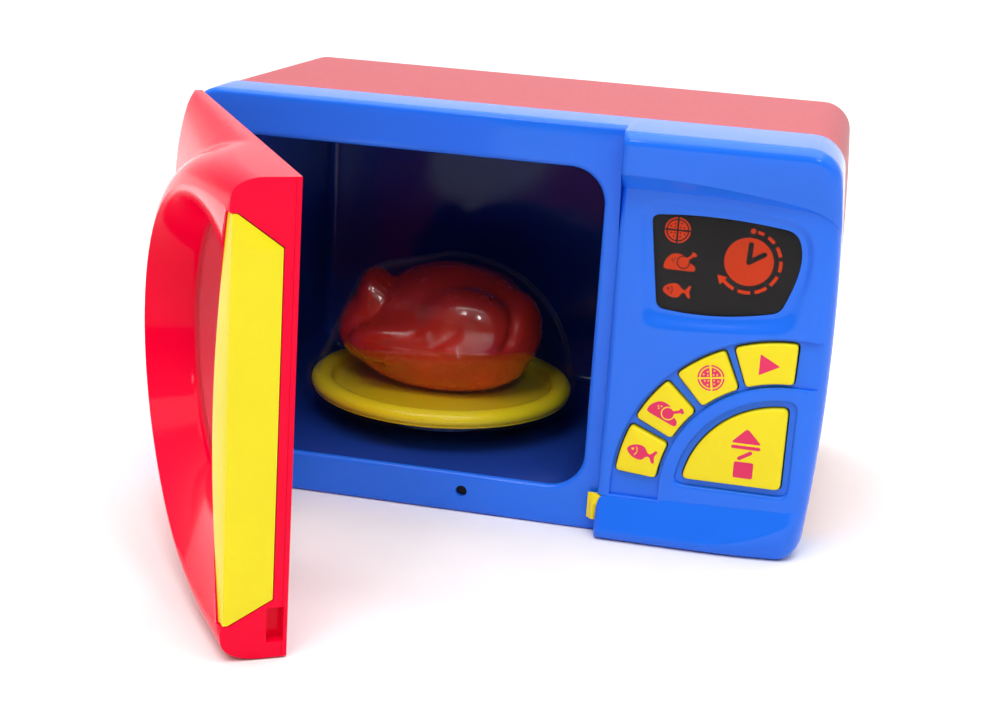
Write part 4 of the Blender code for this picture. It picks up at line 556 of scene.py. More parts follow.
def body(name, points, faces, surface, curved=False):
    """One closed body with its faces turned outward; a curved one is split into triangles."""
    mesh = bpy.data.meshes.new(name)
    form = bmesh.new()
    corners = [form.verts.new(point) for point in points]
    for face in faces:
        form.faces.new([corners[index] for index in face])
    bmesh.ops.recalc_face_normals(form, faces=form.faces)
    if curved:
        bmesh.ops.triangulate(form, faces=form.faces)
    form.to_mesh(mesh)
    form.free()
    mesh.shade_smooth()
    mesh.set_sharp_from_angle(angle=SMOOTH_ANGLE)
    if surface:
        mesh.materials.append(surface)
    return placed(name, mesh)


def rings_body(name, rings, colour, closed_tube=False, curved=False):
    """Skin over rings of equal length; the ends are capped unless the rings form a closed tube."""
    count = len(rings[0])
    points = [point for ring in rings for point in ring]
    faces = []
    spans = len(rings) if closed_tube else len(rings) - 1
    for row in range(spans):
        near = row * count
        far = ((row + 1) % len(rings)) * count
        for step in range(count):
            after = (step + 1) % count
            faces.append((near + step, near + after, far + after, far + step))
    if not closed_tube:
        faces.append(tuple(reversed(range(count))))
        last = (len(rings) - 1) * count
        faces.append(tuple(range(last, last + count)))
    return body(name, points, faces, SURFACES.get(colour), curved)


def grid_body(name, rows, back_y, colour):
    """A front surface of rows and columns, closed by side strips and one flat back face."""
    columns = len(rows[0])
    points = [point for row in rows for point in row]
    faces = []
    for row in range(len(rows) - 1):
        for column in range(columns - 1):
            first = row * columns + column
            faces.append((first, first + 1, first + columns + 1, first + columns))
    last_row = (len(rows) - 1) * columns
    rim = [row * columns for row in range(len(rows))]
    rim += [last_row + column for column in range(1, columns)]
    rim += [row * columns + columns - 1 for row in range(len(rows) - 2, -1, -1)]
    rim += range(columns - 2, 0, -1)
    base = len(points)
    points += [Vector((points[index][0], back_y, points[index][2])) for index in rim]
    for step, index in enumerate(rim):
        after = (step + 1) % len(rim)
        faces.append((index, rim[after], base + after, base + step))
    faces.append(tuple(range(base, base + len(rim))))
    return body(name, points, faces, SURFACES.get(colour), curved=True)


def combine(target, tool, operation):
    modifier = target.modifiers.new(tool.name, "BOOLEAN")
    modifier.operation = operation
    modifier.solver = "EXACT"
    modifier.object = tool
    tool.hide_render = True
    tool.display_type = "WIRE"
    tool.parent = target


def cut(target, tool):
    combine(target, tool, "DIFFERENCE")


def add(target, tool):
    combine(target, tool, "UNION")


def box(name, low, high):
    """A box between two opposite corners."""
    xs, ys, zs = zip(low, high)
    rings = [[Vector((xs[i], ys[j], z)) for i, j in ((0, 0), (1, 0), (1, 1), (0, 1))] for z in zs]
    return rings_body(name, rings, "grey")


def at_depth(outline, y):
    """An outline in X and Z as a ring of points at a place along Y."""
    return [Vector((x, y, z)) for x, z in outline]


def quarter_turns(steps, first=0):
    """Angles from a part of a quarter turn up to the whole of it, in equal steps."""
    return [math.pi / 2 * step / steps for step in range(first, steps + 1)]


def quarter_round(radius, steps):
    """Pairs along a quarter round: how far it has run along, and how far it still has to turn in."""
    return [(radius * (1 - math.cos(turn)), radius * (1 - math.sin(turn)))
            for turn in quarter_turns(steps)]


def clamp(value):
    return min(1.0, max(0.0, value))


def mix(low, high, share):
    return low + (high - low) * share


def bent(start, middle, end, share):
    """A point of the smooth curve from start to end that leans toward the middle."""
    return tuple(mix(mix(a, b, share), mix(b, c, share), share) for a, b, c in zip(start, middle, end))


def circle(radius, steps):
    turns = [math.tau * step / steps for step in range(steps)]
    return [(radius * math.cos(turn), radius * math.sin(turn)) for turn in turns]


def turned(name, centre, axis, profile, colour, steps=ROUND_STEPS):
    """A body turned about a line through centre; profile holds (radius, distance along axis)."""
    spin = Vector(UP).rotation_difference(Vector(axis)).to_matrix()
    rings = []
    for radius, along in profile:
        ring = [spin @ Vector((a, b, along)) for a, b in circle(radius, steps)]
        rings.append([Vector(centre) + point for point in ring])
    return rings_body(name, rings, colour)


def rod(name, centre, axis, radius, start, end, steps=ROUND_STEPS):
    return turned(name, centre, axis, [(radius, start), (radius, end)], "grey", steps)


def sheet(name, outline, front, back, colour="grey"):
    """An outline in X and Z made solid between two places along Y."""
    return rings_body(name, [at_depth(outline, y) for y in (front, back)], colour)


def prism_z(name, outline, low, high, colour="grey"):
    """An outline in X and Y made solid between two heights."""
    rings = [[Vector((x, y, z)) for x, y in outline] for z in (low, high)]
    return rings_body(name, rings, colour)


def arc(radius, start, end, steps, centre=(0.0, 0.0)):
    """Points of an arc between two angles in degrees, both ends included."""
    turns = [math.radians(start + (end - start) * step / steps) for step in range(steps + 1)]
    return [(centre[0] + radius * math.cos(a), centre[1] + radius * math.sin(a)) for a in turns]


def rounded_outline(left, right, bottom, top, radius, arc_steps=4, side_steps=1):
    """A rounded rectangle, anticlockwise, with extra points along its two upright sides."""
    centres = (
        (right - radius, top - radius),
        (left + radius, top - radius),
        (left + radius, bottom + radius),
        (right - radius, bottom + radius),
    )
    points = []
    for turn, centre in enumerate(centres):
        points += arc(radius, 90 * turn, 90 * (turn + 1), arc_steps, centre)
        if turn in (1, 3):
            x, z = points[-1]
            rise = (top - bottom - 2 * radius) * (1 if turn == 3 else -1)
            points += [(x, z + rise * step / side_steps) for step in range(1, side_steps)]
    return points


def edge_fall(distance, radius):
    """How far a rounded edge has dropped at a distance inside it."""
    if distance >= radius:
        return 0.0
    return radius - math.sqrt(radius ** 2 - (radius - distance) ** 2)


def bulged(x, z):
    """X on the housing's slightly convex sides."""
    share = max(0.0, (abs(x) - PANEL_LEFT) / (HALF_WIDTH - PANEL_LEFT))
    level = 2 * z / HOUSING_HEIGHT - 1
    return x + math.copysign(SIDE_BULGE * share * max(0.0, 1 - level ** 2), x)


def eased(share):
    """A share that starts and ends more gently than a straight run."""
    return share - DISH_EASE * math.sin(math.tau * share) / math.tau


def panel_profile(across, inset):
    """Height and raise of the panel's front at a share of its width, from its foot to its top."""
    ledge = LEDGE_HEIGHT + LEDGE_RISE * across
    bend = max(0.0, (across - CHIN_BEND_SHARE) / (1 - CHIN_BEND_SHARE))
    crease = CHIN_HEIGHT + CHIN_RISE * bend ** 2
    chin_raise = mix(CHIN_RAISE, PANEL_RAISE, bend ** 2)
    band = BAND_HEIGHT - BAND_FALL * across ** 3
    brow = BROW_HEIGHT - BROW_FALL * across ** 2
    brow_raise = BROW_RAISE + (PANEL_RAISE - BROW_RAISE) * across ** 1.5
    if inset:
        # The inner face keeps clear of the creases and of the keys' wells.
        brow_raise = PANEL_RAISE
        ledge -= LEDGE_CLEARANCE * (1 - across)
    profile = []
    for step in range(6):
        turn = math.radians(13 * step)
        profile.append((CHIN_ROUND * (1 - math.cos(turn)),
                        chin_raise - CHIN_ROUND * (1 - math.sin(turn))))
    for share in CHIN_SHARES:
        profile.append((mix(crease, ledge, share), mix(chin_raise, PANEL_RAISE, share)))
    profile.append((ledge + CREASE_EASE, PANEL_RAISE))
    profile += [(mix(ledge, band, step / (FACE_COLUMNS + 1)), PANEL_RAISE)
                for step in range(1, FACE_COLUMNS + 1)]
    profile.append((band - CREASE_EASE, PANEL_RAISE))
    for share in BROW_SHARES:
        profile.append((mix(band, brow, share), mix(PANEL_RAISE, brow_raise, share)))
    profile.append((brow + CREASE_EASE, brow_raise + BROW_LIP * (1 - across)))
    bulge = (mix(brow, NOSE_HEIGHT, NOSE_BULGE_SHARE), NOSE_RAISE - CREASE_EASE)
    profile += [bent((brow, brow_raise), bulge, (NOSE_HEIGHT, NOSE_RAISE), step / 6)
                for step in range(1, 7)]
    above = HOUSING_HEIGHT - NOSE_HEIGHT
    profile += [(NOSE_HEIGHT + above * math.sin(turn), NOSE_RAISE - NOSE_ROUND * (1 - math.cos(turn)))
                for turn in quarter_turns(8, 1)]
    return profile


def frame_row(distance, x, inset):
    """One upright row of points on the door frame."""
    corner = edge_fall(distance, CORNER_RADIUS - inset)
    low = inset + corner
    high = HOUSING_HEIGHT - inset - corner
    radius = EDGE_RADIUS
    heights = [low + radius * share for share in EDGE_SHARES]
    span = high - low - 2 * radius
    heights += [low + radius + span * step / (FRAME_COLUMNS + 1)
                for step in range(1, FRAME_COLUMNS + 1)]
    heights += [high - radius * share for share in reversed(EDGE_SHARES)]
    row = []
    for z in heights:
        nearest = min(distance, z - low, high - z)
        row.append(Vector((bulged(x, z), FRONT_Y + inset + edge_fall(nearest, radius), z)))
    return row


def panel_row(from_left, from_right, x, inset):
    """One upright row of points on the control panel."""
    across = (x - PANEL_LEFT) / (HALF_WIDTH - PANEL_LEFT)
    top_corner = edge_fall(from_right, PANEL_CORNER_RADIUS - inset)
    foot_corner = edge_fall(from_right, PANEL_SIDE_RADIUS - inset)
    low = inset + foot_corner
    high = HOUSING_HEIGHT - inset - top_corner
    drop = edge_fall(from_left, EDGE_RADIUS) + edge_fall(from_right, PANEL_SIDE_RADIUS)
    row = []
    for height, rise in panel_profile(across, inset):
        z = low + (high - low) * height / HOUSING_HEIGHT
        row.append(Vector((bulged(x, z), FRONT_Y - rise + inset + drop, z)))
    return row


def front_rows(inset):
    """The whole front surface, drawn in by the wall for its inner side."""
    left = -HALF_WIDTH + inset
    step_x = PANEL_LEFT + inset
    right = HALF_WIDTH - inset
    distances = [EDGE_RADIUS * share for share in EDGE_SHARES]
    distances += [CORNER_RADIUS * share for share in CORNER_SHARES]
    frame_span = step_x - PANEL_DRAFT - left
    distances += [CORNER_RADIUS + (frame_span - CORNER_RADIUS) * share for share in FRAME_SHARES]
    distances.append(frame_span)
    rows = [frame_row(distance, left + distance, inset) for distance in distances]
    panel_span = right - step_x
    offsets = [EDGE_RADIUS * share for share in EDGE_SHARES]
    offsets += [panel_span * share for share in PANEL_SHARES]
    offsets.append(panel_span - PANEL_CORNER_RADIUS)
    offsets += [panel_span - PANEL_SIDE_RADIUS * share for share in SIDE_ROUND_SHARES]
    rows += [panel_row(offset, panel_span - offset, step_x + offset, inset) for offset in offsets]
    return rows


def grown_polygon(corners, grow):
    """A polygon with every side moved outward by the same distance."""
    points = [Vector(corner) for corner in corners]
    area = sum(points[index - 1].cross(points[index]) for index in range(len(points)))
    way = 1 if area > 0 else -1
    grown = []
    for index, here in enumerate(points):
        before = (here - points[index - 1]).normalized()
        after = (points[(index + 1) % len(points)] - here).normalized()
        normals = (Vector((before.y, -before.x)) * way, Vector((after.y, -after.x)) * way)
        shift = (normals[0] + normals[1]) / (1 + normals[0].dot(normals[1]))
        grown.append(tuple(here + shift * grow))
    return grown


def sector_outline(degrees, grow=0.0):
    """A fan key's outline about the fan's centre, grown by a margin, with eased corners."""
    turn = math.degrees(grow / FAN_INNER)
    start, end = degrees[0] - turn, degrees[1] + turn
    centre = (FAN_X, FAN_Z)
    outer = arc(FAN_OUTER + grow, start, end, 16, centre)
    inner = arc(FAN_INNER - grow, end, start, 16, centre)
    return eased_runs([outer, [outer[-1], inner[0]], inner, [inner[-1], outer[0]]],
                      max(KEY_CORNER / 4, KEY_CORNER + grow))


def open_key_outline(grow=0.0):
    """The open key's outline: a quarter disc with its square corner at the lower right."""
    radius = OPEN_KEY_RADIUS + grow
    bottom = OPEN_KEY_BOTTOM - grow
    right = FAN_X + grow
    start = math.degrees(math.acos(grow / radius))
    end = 180 - math.degrees(math.asin((bottom - FAN_Z) / radius))
    quarter = arc(radius, start, end, 40, (FAN_X, FAN_Z))
    corner = (right, bottom)
    return eased_runs([quarter, [quarter[-1], corner], [corner, quarter[0]]],
                      max(OPEN_CORNER / 4, OPEN_CORNER + grow * 0.5))


def fan_band_outline(grow=0.0):
    """The sunk band behind the fan keys: it runs out over the panel's side, and ends in a pocket."""
    outer = FAN_OUTER + BAND_MARGIN + grow
    inner = FAN_INNER - BAND_MARGIN - grow
    low = POCKET_BOTTOM - grow
    centre = (FAN_X, FAN_Z)
    points = [(HALF_WIDTH + WALL, FAN_Z + outer)] + arc(outer, 90, 180, 40, centre)
    points += [(FAN_X - outer, low), (FAN_X - inner, low)]
    return points + arc(inner, 180, 90, 32, centre) + [(HALF_WIDTH + WALL, FAN_Z + inner)]


def opening_outline(grow):
    return rounded_outline(OPENING_LEFT - grow, OPENING_RIGHT + grow, OPENING_BOTTOM - grow,
                           OPENING_TOP + grow, OPENING_RADIUS + grow, 12)


def cut_opening(shell):
    cut(shell, lips("opening_cutter", opening_outline, FRONT_Y, FRONT_Y + WALL + OVERRUN, RIM_ROUND))


def cut_panel(shell):
    """The dish and window of the display, and the sunk seats and holes of the keys."""
    front = FACE_Y
    behind = FACE_INNER_Y + OVERRUN
    cut(shell, dish_cutter())
    cut(shell, sheet("glass_cutter", glass_outline(0.0), front - OVERRUN, behind))
    cut(shell, lips("band_cutter", fan_band_outline, front, WELL_Y, RECESS_ROUND))
    cut(shell, lips("open_seat_cutter", lambda grow: open_key_outline(OPEN_KEY_MARGIN + grow),
                    front, WELL_Y, RECESS_ROUND * 2))
    for name, degrees in FAN_KEY_DEGREES.items():
        cut(shell, sheet(name + "_cutter", sector_outline(degrees, KEY_SHADOW), front - OVERRUN, behind))
    cut(shell, sheet("open_key_cutter", open_key_outline(KEY_SHADOW), front - OVERRUN, behind))


def cut_latch_way(shell):
    """The slot in the panel's left wall that the latch's tongue comes out of."""
    front = FRONT_Y + LATCH_FRONT - CREASE_ROUND
    cut(shell, box("latch_slot_cutter", (PANEL_LEFT - OVERRUN, front, LATCH_BOTTOM - CREASE_ROUND),
                   (PANEL_LEFT + WALL + OVERRUN, front + LATCH_THICKNESS + CREASE_ROUND * 2,
                    LATCH_BOTTOM + TONGUE_HEIGHT + CREASE_ROUND)))


def add_hinge_lugs(shell):
    for low in (LUG_LOWER_Z, LUG_UPPER_Z):
        top = low + LUG_HEIGHT
        centre = (HINGE_X, HINGE_Y, 0)
        eye = rod("lug_eye", centre, UP, LUG_RADIUS, low, top, steps=16)
        stem_low = (HINGE_X - LUG_RADIUS, HINGE_Y, low)
        stem_high = (HINGE_X + LUG_RADIUS, FRONT_Y + WALL / 2, top)
        add(shell, box("lug_stem", stem_low, stem_high))
        add(shell, eye)
        bore = PIN_RADIUS + RUNNING_GAP / 2
        cut(shell, rod("lug_bore", centre, UP, bore, low - OVERRUN, top + OVERRUN, steps=12))


def make_front_case():
    """The front shell with its panel, the oven's mouth, the lugs for the door and the latch's shelf."""
    back = FRONT_Y + FRONT_SHELL_DEPTH
    shell = grid_body("front_case", front_rows(0.0), back, "royal_blue")
    cut(shell, grid_body("front_inside", front_rows(WALL), back + OVERRUN, "grey"))
    cut_opening(shell)
    cut_panel(shell)
    cut_latch_way(shell)
    hole_end = FRONT_Y + WALL + OVERRUN
    centre = (HINGE_X + PEG_U, 0, PEG_Z)
    cut(shell, rod("peg_hole", centre, REARWARD, PEG_HOLE_RADIUS, FRONT_Y - OVERRUN, hole_end, steps=16))
    add_hinge_lugs(shell)
    shelf_low = (LATCH_TAB_X, FRONT_Y + LATCH_FRONT, WALL / 2)
    shelf_high = (LATCH_TAB_X + LUG_RADIUS, FRONT_Y + FRONT_SHELL_DEPTH / 2, LATCH_BOTTOM - GAP)
    add(shell, box("latch_shelf", shelf_low, shelf_high))
    return put(shell, "housing", "front_housing")


def grille_places():
    """Centres of the speaker holes, in rings of six, twelve and so on round one hole."""
    places = [(SPEAKER_X, SPEAKER_Z)]
    for ring in range(1, GRILLE_RINGS + 1):
        count = 6 * ring
        places += [(SPEAKER_X + dx, SPEAKER_Z + dz) for dx, dz in circle(GRILLE_PITCH * ring, count)]
    return places


def door_sheet(u, z):
    """How far the door's plain outer sheet stands out from the inner face."""
    along = clamp(u / DOOR_LENGTH)
    thickness = mix(DOOR_THIN, DOOR_THICK, along)
    shoulder = mix(DOOR_SHOULDER_HINGE, DOOR_SHOULDER_FREE, along)
    edge = min(z - DOOR_BOTTOM, DOOR_TOP - z)
    level = 1 - clamp(edge / shoulder)
    nose = 1 - clamp((u + DOOR_NOSE) / DOOR_NOSE_RADIUS)
    fall = math.sqrt(max(0.0, 1 - level ** 2)) * math.sqrt(max(0.0, 1 - nose ** 2))
    return mix(DOOR_RIM, thickness, fall)


def handle_edge(z):
    """Where the handle's inner edge lies along the door at a height."""
    level = min(1.0, abs(z - CREST_Z) / CREST_HEIGHT)
    return DOOR_LENGTH - HANDLE_TIP - (HANDLE_DEPTH - HANDLE_TIP) * (1 - level ** 2)


def crest_raise(u):
    share = clamp((u - WINDOW_U) / (DOOR_LENGTH - WINDOW_U))
    return mix(CREST_RAISE, CREST_RAISE_FREE, share ** 2)


def door_raise(u, z):
    """How far the door's outer face stands out: sheet, skirt, crest and the slope to the window."""
    du = (u - CREST_U) / CREST_LENGTH
    dz = (z - CREST_Z) / CREST_HEIGHT
    ratio = math.hypot(du, dz)
    slope = math.hypot(du / CREST_LENGTH, dz / CREST_HEIGHT) / max(ratio, 1e-6)
    outside = (ratio - 1) / slope
    plain = door_sheet(u, z)
    if outside >= 0:
        share = min(1.0, outside / CREST_SKIRT)
        return mix(max(crest_raise(u), plain), plain, share ** 2)
    if u >= handle_edge(z):
        share = (u - handle_edge(z)) / (DOOR_LENGTH - handle_edge(z))
        return mix(crest_raise(u), DOOR_THICK, share)
    inside = min(-outside, handle_edge(z) - u)
    to_window = max(0.0, math.hypot(u - WINDOW_U, z - WINDOW_Z) - WINDOW_RADIUS)
    share = inside / (inside + to_window) if inside + to_window > 0 else 0.0
    return mix(crest_raise(u), WINDOW_RAISE, share)


def door_point(u, t, z):
    """A point of the door in the hinge's own frame, with the door along +X."""
    return Vector((u, HINGE_SETBACK - t, z))


def side_points(left, right, bottom, top):
    """Points along the sides of an upright rectangle, closer together toward its corners."""
    corners = ((right, bottom), (right, top), (left, top), (left, bottom))
    points = []
    for start, end in zip(corners, corners[1:] + corners[:1]):
        for step in range(DOOR_SIDE_STEPS):
            share = (1 - math.cos(math.pi * step / DOOR_SIDE_STEPS)) / 2
            points.append((mix(start[0], end[0], share), mix(start[1], end[1], share)))
    return points


def ray_reach(direction, limit, inside):
    """How far a ray from the window's centre runs before it leaves a region."""
    low, high = 0.0, limit
    for _ in range(RAY_HALVINGS):
        middle = (low + high) / 2
        if inside(WINDOW_U + direction[0] * middle, WINDOW_Z + direction[1] * middle):
            low = middle
        else:
            high = middle
    return low


def within_crest(u, z):
    ratio = math.hypot((u - CREST_U) / CREST_LENGTH, (z - CREST_Z) / CREST_HEIGHT)
    return ratio < 1 and u < handle_edge(z)


def within_skirt(u, z):
    length = CREST_LENGTH + CREST_SKIRT
    height = CREST_HEIGHT + CREST_SKIRT
    return math.hypot((u - CREST_U) / length, (z - CREST_Z) / height) < 1


def door_reaches(rim):
    """Distances from the window's centre at which one ray is sampled, ending on the rim."""
    offset = Vector(rim) - Vector((WINDOW_U, WINDOW_Z))
    limit = offset.length
    direction = offset.normalized()
    crest = min(ray_reach(direction, limit, within_crest), limit * DOOR_CREST_LIMIT_SHARE)
    foot = min(ray_reach(direction, limit, within_skirt), limit * SKIRT_LIMIT_SHARE)
    foot = max(foot, mix(crest, limit, SKIRT_SHARES[0]))
    reaches = [mix(WINDOW_RADIUS, crest, share) for share in SLOPE_SHARES]
    reaches += [mix(crest, foot, share) for share in SKIRT_SHARES]
    reaches += [mix(foot, limit, share) for share in SHEET_SHARES]
    return direction, reaches


def door_face_rings(rim_points, inset):
    """Rings over the door's face from the window's edge to a rim, sunk by an inset."""
    columns = []
    for rim in rim_points:
        direction, reaches = door_reaches(rim)
        places = [(WINDOW_U + direction[0] * r, WINDOW_Z + direction[1] * r) for r in reaches]
        columns.append([door_point(u, door_raise(u, z) - inset, z) for u, z in places])
    return [list(ring) for ring in zip(*columns)]


def handle_sections(gap, over):
    """Cross-sections of the handle from its lower tip to its upper tip, grown for its seat."""
    rings = []
    reach = CREST_HEIGHT - HANDLE_TIP / 2 + gap
    steps = 48
    levels = [-reach * math.cos(math.pi * step / steps) for step in range(steps + 1)]
    levels += [HANDLE_FOOT_RUN - reach, reach - HANDLE_TIP_RUN]
    inner = DOOR_LENGTH - HANDLE_THICKNESS - gap
    for level in sorted(levels):
        z = CREST_Z + level
        tipward = (level / reach) ** 2
        edge = min(handle_edge(z), inner - CREASE_ROUND)
        run = HANDLE_TIP_RUN if level > 0 else HANDLE_FOOT_RUN
        near_tip = max(0.0, 1 - (reach - abs(level)) / run)
        back = mix(HANDLE_BACK, DOOR_THICK - HANDLE_TIP_THICKNESS * 1.5, near_tip) - gap
        crown = HANDLE_CROWN * (1 - tipward)
        face = mix(door_raise(edge + gap, z), DOOR_THICK + HANDLE_LIP, tipward) + crown
        under = mix(HANDLE_THICKNESS, HANDLE_TIP_THICKNESS, near_tip) + gap
        middle = mix(face, DOOR_THICK, HANDLE_FACE_SHARE)
        section = ((edge - gap, face + over), (inner, middle + over),
                   (DOOR_LENGTH + over, DOOR_THICK + over), (DOOR_LENGTH + over, back), (inner, back),
                   (inner, middle - under), (edge - gap, face - under))
        rings.append([door_point(u, t, z) for u, t in section])
    return rings


def make_door_shell():
    """The door's outer shell, with its window, handle seat, hinge notches and latch pocket."""
    outer_rim = side_points(-DOOR_NOSE, DOOR_LENGTH, DOOR_BOTTOM, DOOR_TOP)
    margin = INNER_PANEL_MARGIN
    inner_rim = side_points(margin, CREST_U - GAP, DOOR_BOTTOM + margin / 2, DOOR_TOP - margin / 2)
    outer = door_face_rings(outer_rim, 0.0)
    inner = door_face_rings(inner_rim, DOOR_WALL)
    rims = [[door_point(u, 0.0, z) for u, z in rim] for rim in (outer_rim, inner_rim)]
    rings = outer + rims + list(reversed(inner))
    shell = rings_body("door_case", rings, "magenta_red", closed_tube=True, curved=True)
    cut(shell, rings_body("handle_seat", handle_sections(GAP, OVERRUN), "grey"))
    for low_z in (LUG_LOWER_Z, LUG_UPPER_Z):
        notch_low = (-DOOR_NOSE - OVERRUN, HINGE_SETBACK - LUG_RADIUS * 2 - DOOR_WALL, low_z - NOTCH_GAP)
        notch_high = (LUG_RADIUS + NOTCH_SIDE_GAP, HINGE_SETBACK + OVERRUN,
                      low_z + LUG_HEIGHT + NOTCH_GAP)
        cut(shell, box("hinge_notch", notch_low, notch_high))
        cut(shell, rod("pin_bore", (0, 0, 0), UP, PIN_RADIUS + RUNNING_GAP,
                       low_z - PIN_REACH - GAP, low_z + LUG_HEIGHT + PIN_REACH + GAP, steps=12))
    cut(shell, latch_pocket())
    return shell


def latch_pocket():
    """The slot in the door's free edge that takes the latch's tongue."""
    start = (DOOR_LENGTH - LATCH_TIP - LATCH_SLOT_MARGIN, HINGE_SETBACK - POCKET_FRONT,
             LATCH_BOTTOM - LATCH_SLOT_MARGIN)
    end = (DOOR_LENGTH + OVERRUN, HINGE_SETBACK - POCKET_BACK,
           LATCH_BOTTOM + TONGUE_HEIGHT + LATCH_SLOT_MARGIN)
    return box("latch_pocket", start, end)


def make_inner_panel():
    """The flat sheet that closes the door's back, with the window's collar and the switch peg."""
    margin = INNER_PANEL_MARGIN + GAP
    low = DOOR_BOTTOM + INNER_PANEL_MARGIN / 2 + GAP
    high = DOOR_TOP - INNER_PANEL_MARGIN / 2 - GAP
    outline = rounded_outline(margin, CREST_U - GAP * 2, low, high, COLLAR_WALL)
    panel = sheet("door_lining", outline, HINGE_SETBACK - INNER_PANEL_THICKNESS, HINGE_SETBACK,
                  "magenta_red")
    centre = (WINDOW_U, 0, WINDOW_Z)
    outer = WINDOW_RADIUS - GAP * 2
    inner = outer - COLLAR_WALL
    start = INNER_PANEL_THICKNESS / 2 - HINGE_SETBACK
    end = WINDOW_RAISE - WINDOW_THICKNESS - GAP * 2 - HINGE_SETBACK
    add(panel, rod("collar", centre, FORWARD, outer, start, end, steps=128))
    cut(panel, rod("collar_hole", centre, FORWARD, inner, -HINGE_SETBACK - OVERRUN,
                   end + OVERRUN, steps=128))
    peg_start = -HINGE_SETBACK - PEG_LENGTH
    add(panel, rod("switch_peg", (PEG_U, 0, PEG_Z), FORWARD, PEG_RADIUS, peg_start, start, steps=12))
    return panel


def steep_share(level):
    for (low, near), (high, far) in zip(STEEP_SIDE_SHARES, STEEP_SIDE_SHARES[1:]):
        if level <= high:
            return mix(near, far, (level - low) / (high - low))
    return 0.0


def settled(piece):
    """Apply a piece's cuts to its mesh and take the cutting bodies away."""
    tools = list(piece.children)
    graph = bpy.context.evaluated_depsgraph_get()
    mesh = bpy.data.meshes.new_from_object(piece.evaluated_get(graph))
    piece.modifiers.clear()
    piece.data = mesh
    for tool in tools:
        bpy.data.objects.remove(tool, do_unlink=True)
    mesh.shade_smooth()
    mesh.set_sharp_from_angle(angle=SMOOTH_ANGLE)
    return piece


def soften(piece, width, segments):
    """Round the sharp edges of a piece by a small width."""
    bevel = piece.modifiers.new("soft_edges", "BEVEL")
    bevel.width = width
    bevel.segments = segments
    bevel.limit_method = "ANGLE"
    bevel.angle_limit = SOFT_ANGLE
    bevel.use_clamp_overlap = True
    bevel.harden_normals = False


def put(piece, body_name, node=None):
    """A finished piece rides on its body, and may stand for a node of the model."""
    piece = settled(piece)
    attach(piece, body_name)
    if node:
        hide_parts(node)
    return piece


def lips(name, outline_of, front, depth, round_over):
    """A cutter whose mouth flares at the front face, so that the cut's rim comes out rounded."""
    rings = [at_depth(outline_of(round_over), front - OVERRUN)]
    rings += [at_depth(outline_of(grow), front + run) for run, grow in quarter_round(round_over, 4)]
    rings.append(at_depth(outline_of(0.0), depth))
    return rings_body(name, rings, "")


def cut_back(run, reach, count):
    """Evenly spaced points along a run of points, short of both its ends by a reach."""
    lengths = [0.0]
    for here, there in zip(run, run[1:]):
        lengths.append(lengths[-1] + math.dist(here, there))
    reach = min(reach, lengths[-1] * 0.45)
    points = []
    for step in range(count):
        place = mix(reach, lengths[-1] - reach, step / (count - 1))
        index = max(i for i in range(len(run) - 1) if lengths[i] <= place)
        share = (place - lengths[index]) / (lengths[index + 1] - lengths[index])
        points.append(tuple(mix(a, b, share) for a, b in zip(run[index], run[index + 1])))
    return points


def eased_runs(runs, reach, count=16, steps=7):
    """A closed outline of runs of points that meet at corners, with each corner eased."""
    trimmed = [cut_back(run, reach, count) for run in runs]
    outline = []
    for index, points in enumerate(trimmed):
        after = trimmed[(index + 1) % len(runs)][0]
        outline += points
        outline += [bent(points[-1], runs[index][-1], after, step / steps) for step in range(1, steps)]
    return outline


# Corners of the display's glass and of the dish round it, clockwise from the upper left, and the
# middles of the bowed sides between them
GLASS_CORNERS = ((0.0626, 0.1402), (0.1196, 0.1390), (0.1172, 0.1052), (0.0675, 0.1020))
GLASS_MIDDLES = ((0.0899, 0.1415), (0.1235, 0.1262), (0.0920, 0.1010), (0.0653, 0.1190))
DISH_CORNERS = ((0.0566, 0.1455), (0.1260, 0.1425), (0.1245, 0.0970), (0.0605, 0.0932))
DISH_MIDDLES = ((0.0899, 0.1466), (0.1292, 0.1250), (0.0920, 0.0948), (0.0592, 0.1190))


def bowed_outline(corners, middles, reach, grow):
    """A four-sided outline with bowed sides and eased corners, grown by a margin."""
    corners = grown_polygon(corners, grow)
    centre = [sum(values) / 4 for values in zip(*middles)]
    runs = []
    for index, middle in enumerate(middles):
        start, end = corners[index], corners[(index + 1) % 4]
        way = Vector(middle) - Vector(centre)
        middle = Vector(middle) + way.normalized() * grow
        pull = tuple(2 * m - (a + b) / 2 for m, a, b in zip(middle, start, end))
        runs.append([bent(start, pull, end, step / 20) for step in range(21)])
    return eased_runs(runs, reach + grow)


def glass_outline(grow):
    return bowed_outline(GLASS_CORNERS, GLASS_MIDDLES, GLASS_CORNER, grow)


def dish_outline(grow):
    return bowed_outline(DISH_CORNERS, DISH_MIDDLES, DISH_CORNER, grow)


def dish_cutter():
    """The bowl that sinks from the panel's face to the glass, with eased lips."""
    wide, tight = dish_outline(DISH_LIP), glass_outline(DISH_FOOT)
    rings = [at_depth(wide, FACE_Y - OVERRUN)]
    steps = 10
    for step in range(steps + 1):
        share = step / steps
        depth = FACE_Y + (GLASS_Y - FACE_Y) * eased(share)
        rings.append([Vector((mix(a, c, share), depth, mix(b, d, share)))
                      for (a, b), (c, d) in zip(wide, tight)])
    return rings_body("dish_cutter", rings, "")


def make_display():
    """The display: a polished window set into the dish over a dark card with its printed signs."""
    rings = [at_depth(glass_outline(grow), GLASS_Y + GLASS_GAP + depth) for grow, depth in
             PANE_PROFILE]
    put(rings_body("display_pane", rings, "display_clear"), "housing", "display_window")
    card = sheet("display_backing", glass_outline(CARD_LAP), CARD_Y, CARD_Y + CARD_THICKNESS, "black")
    put(card, "housing", "display_card")


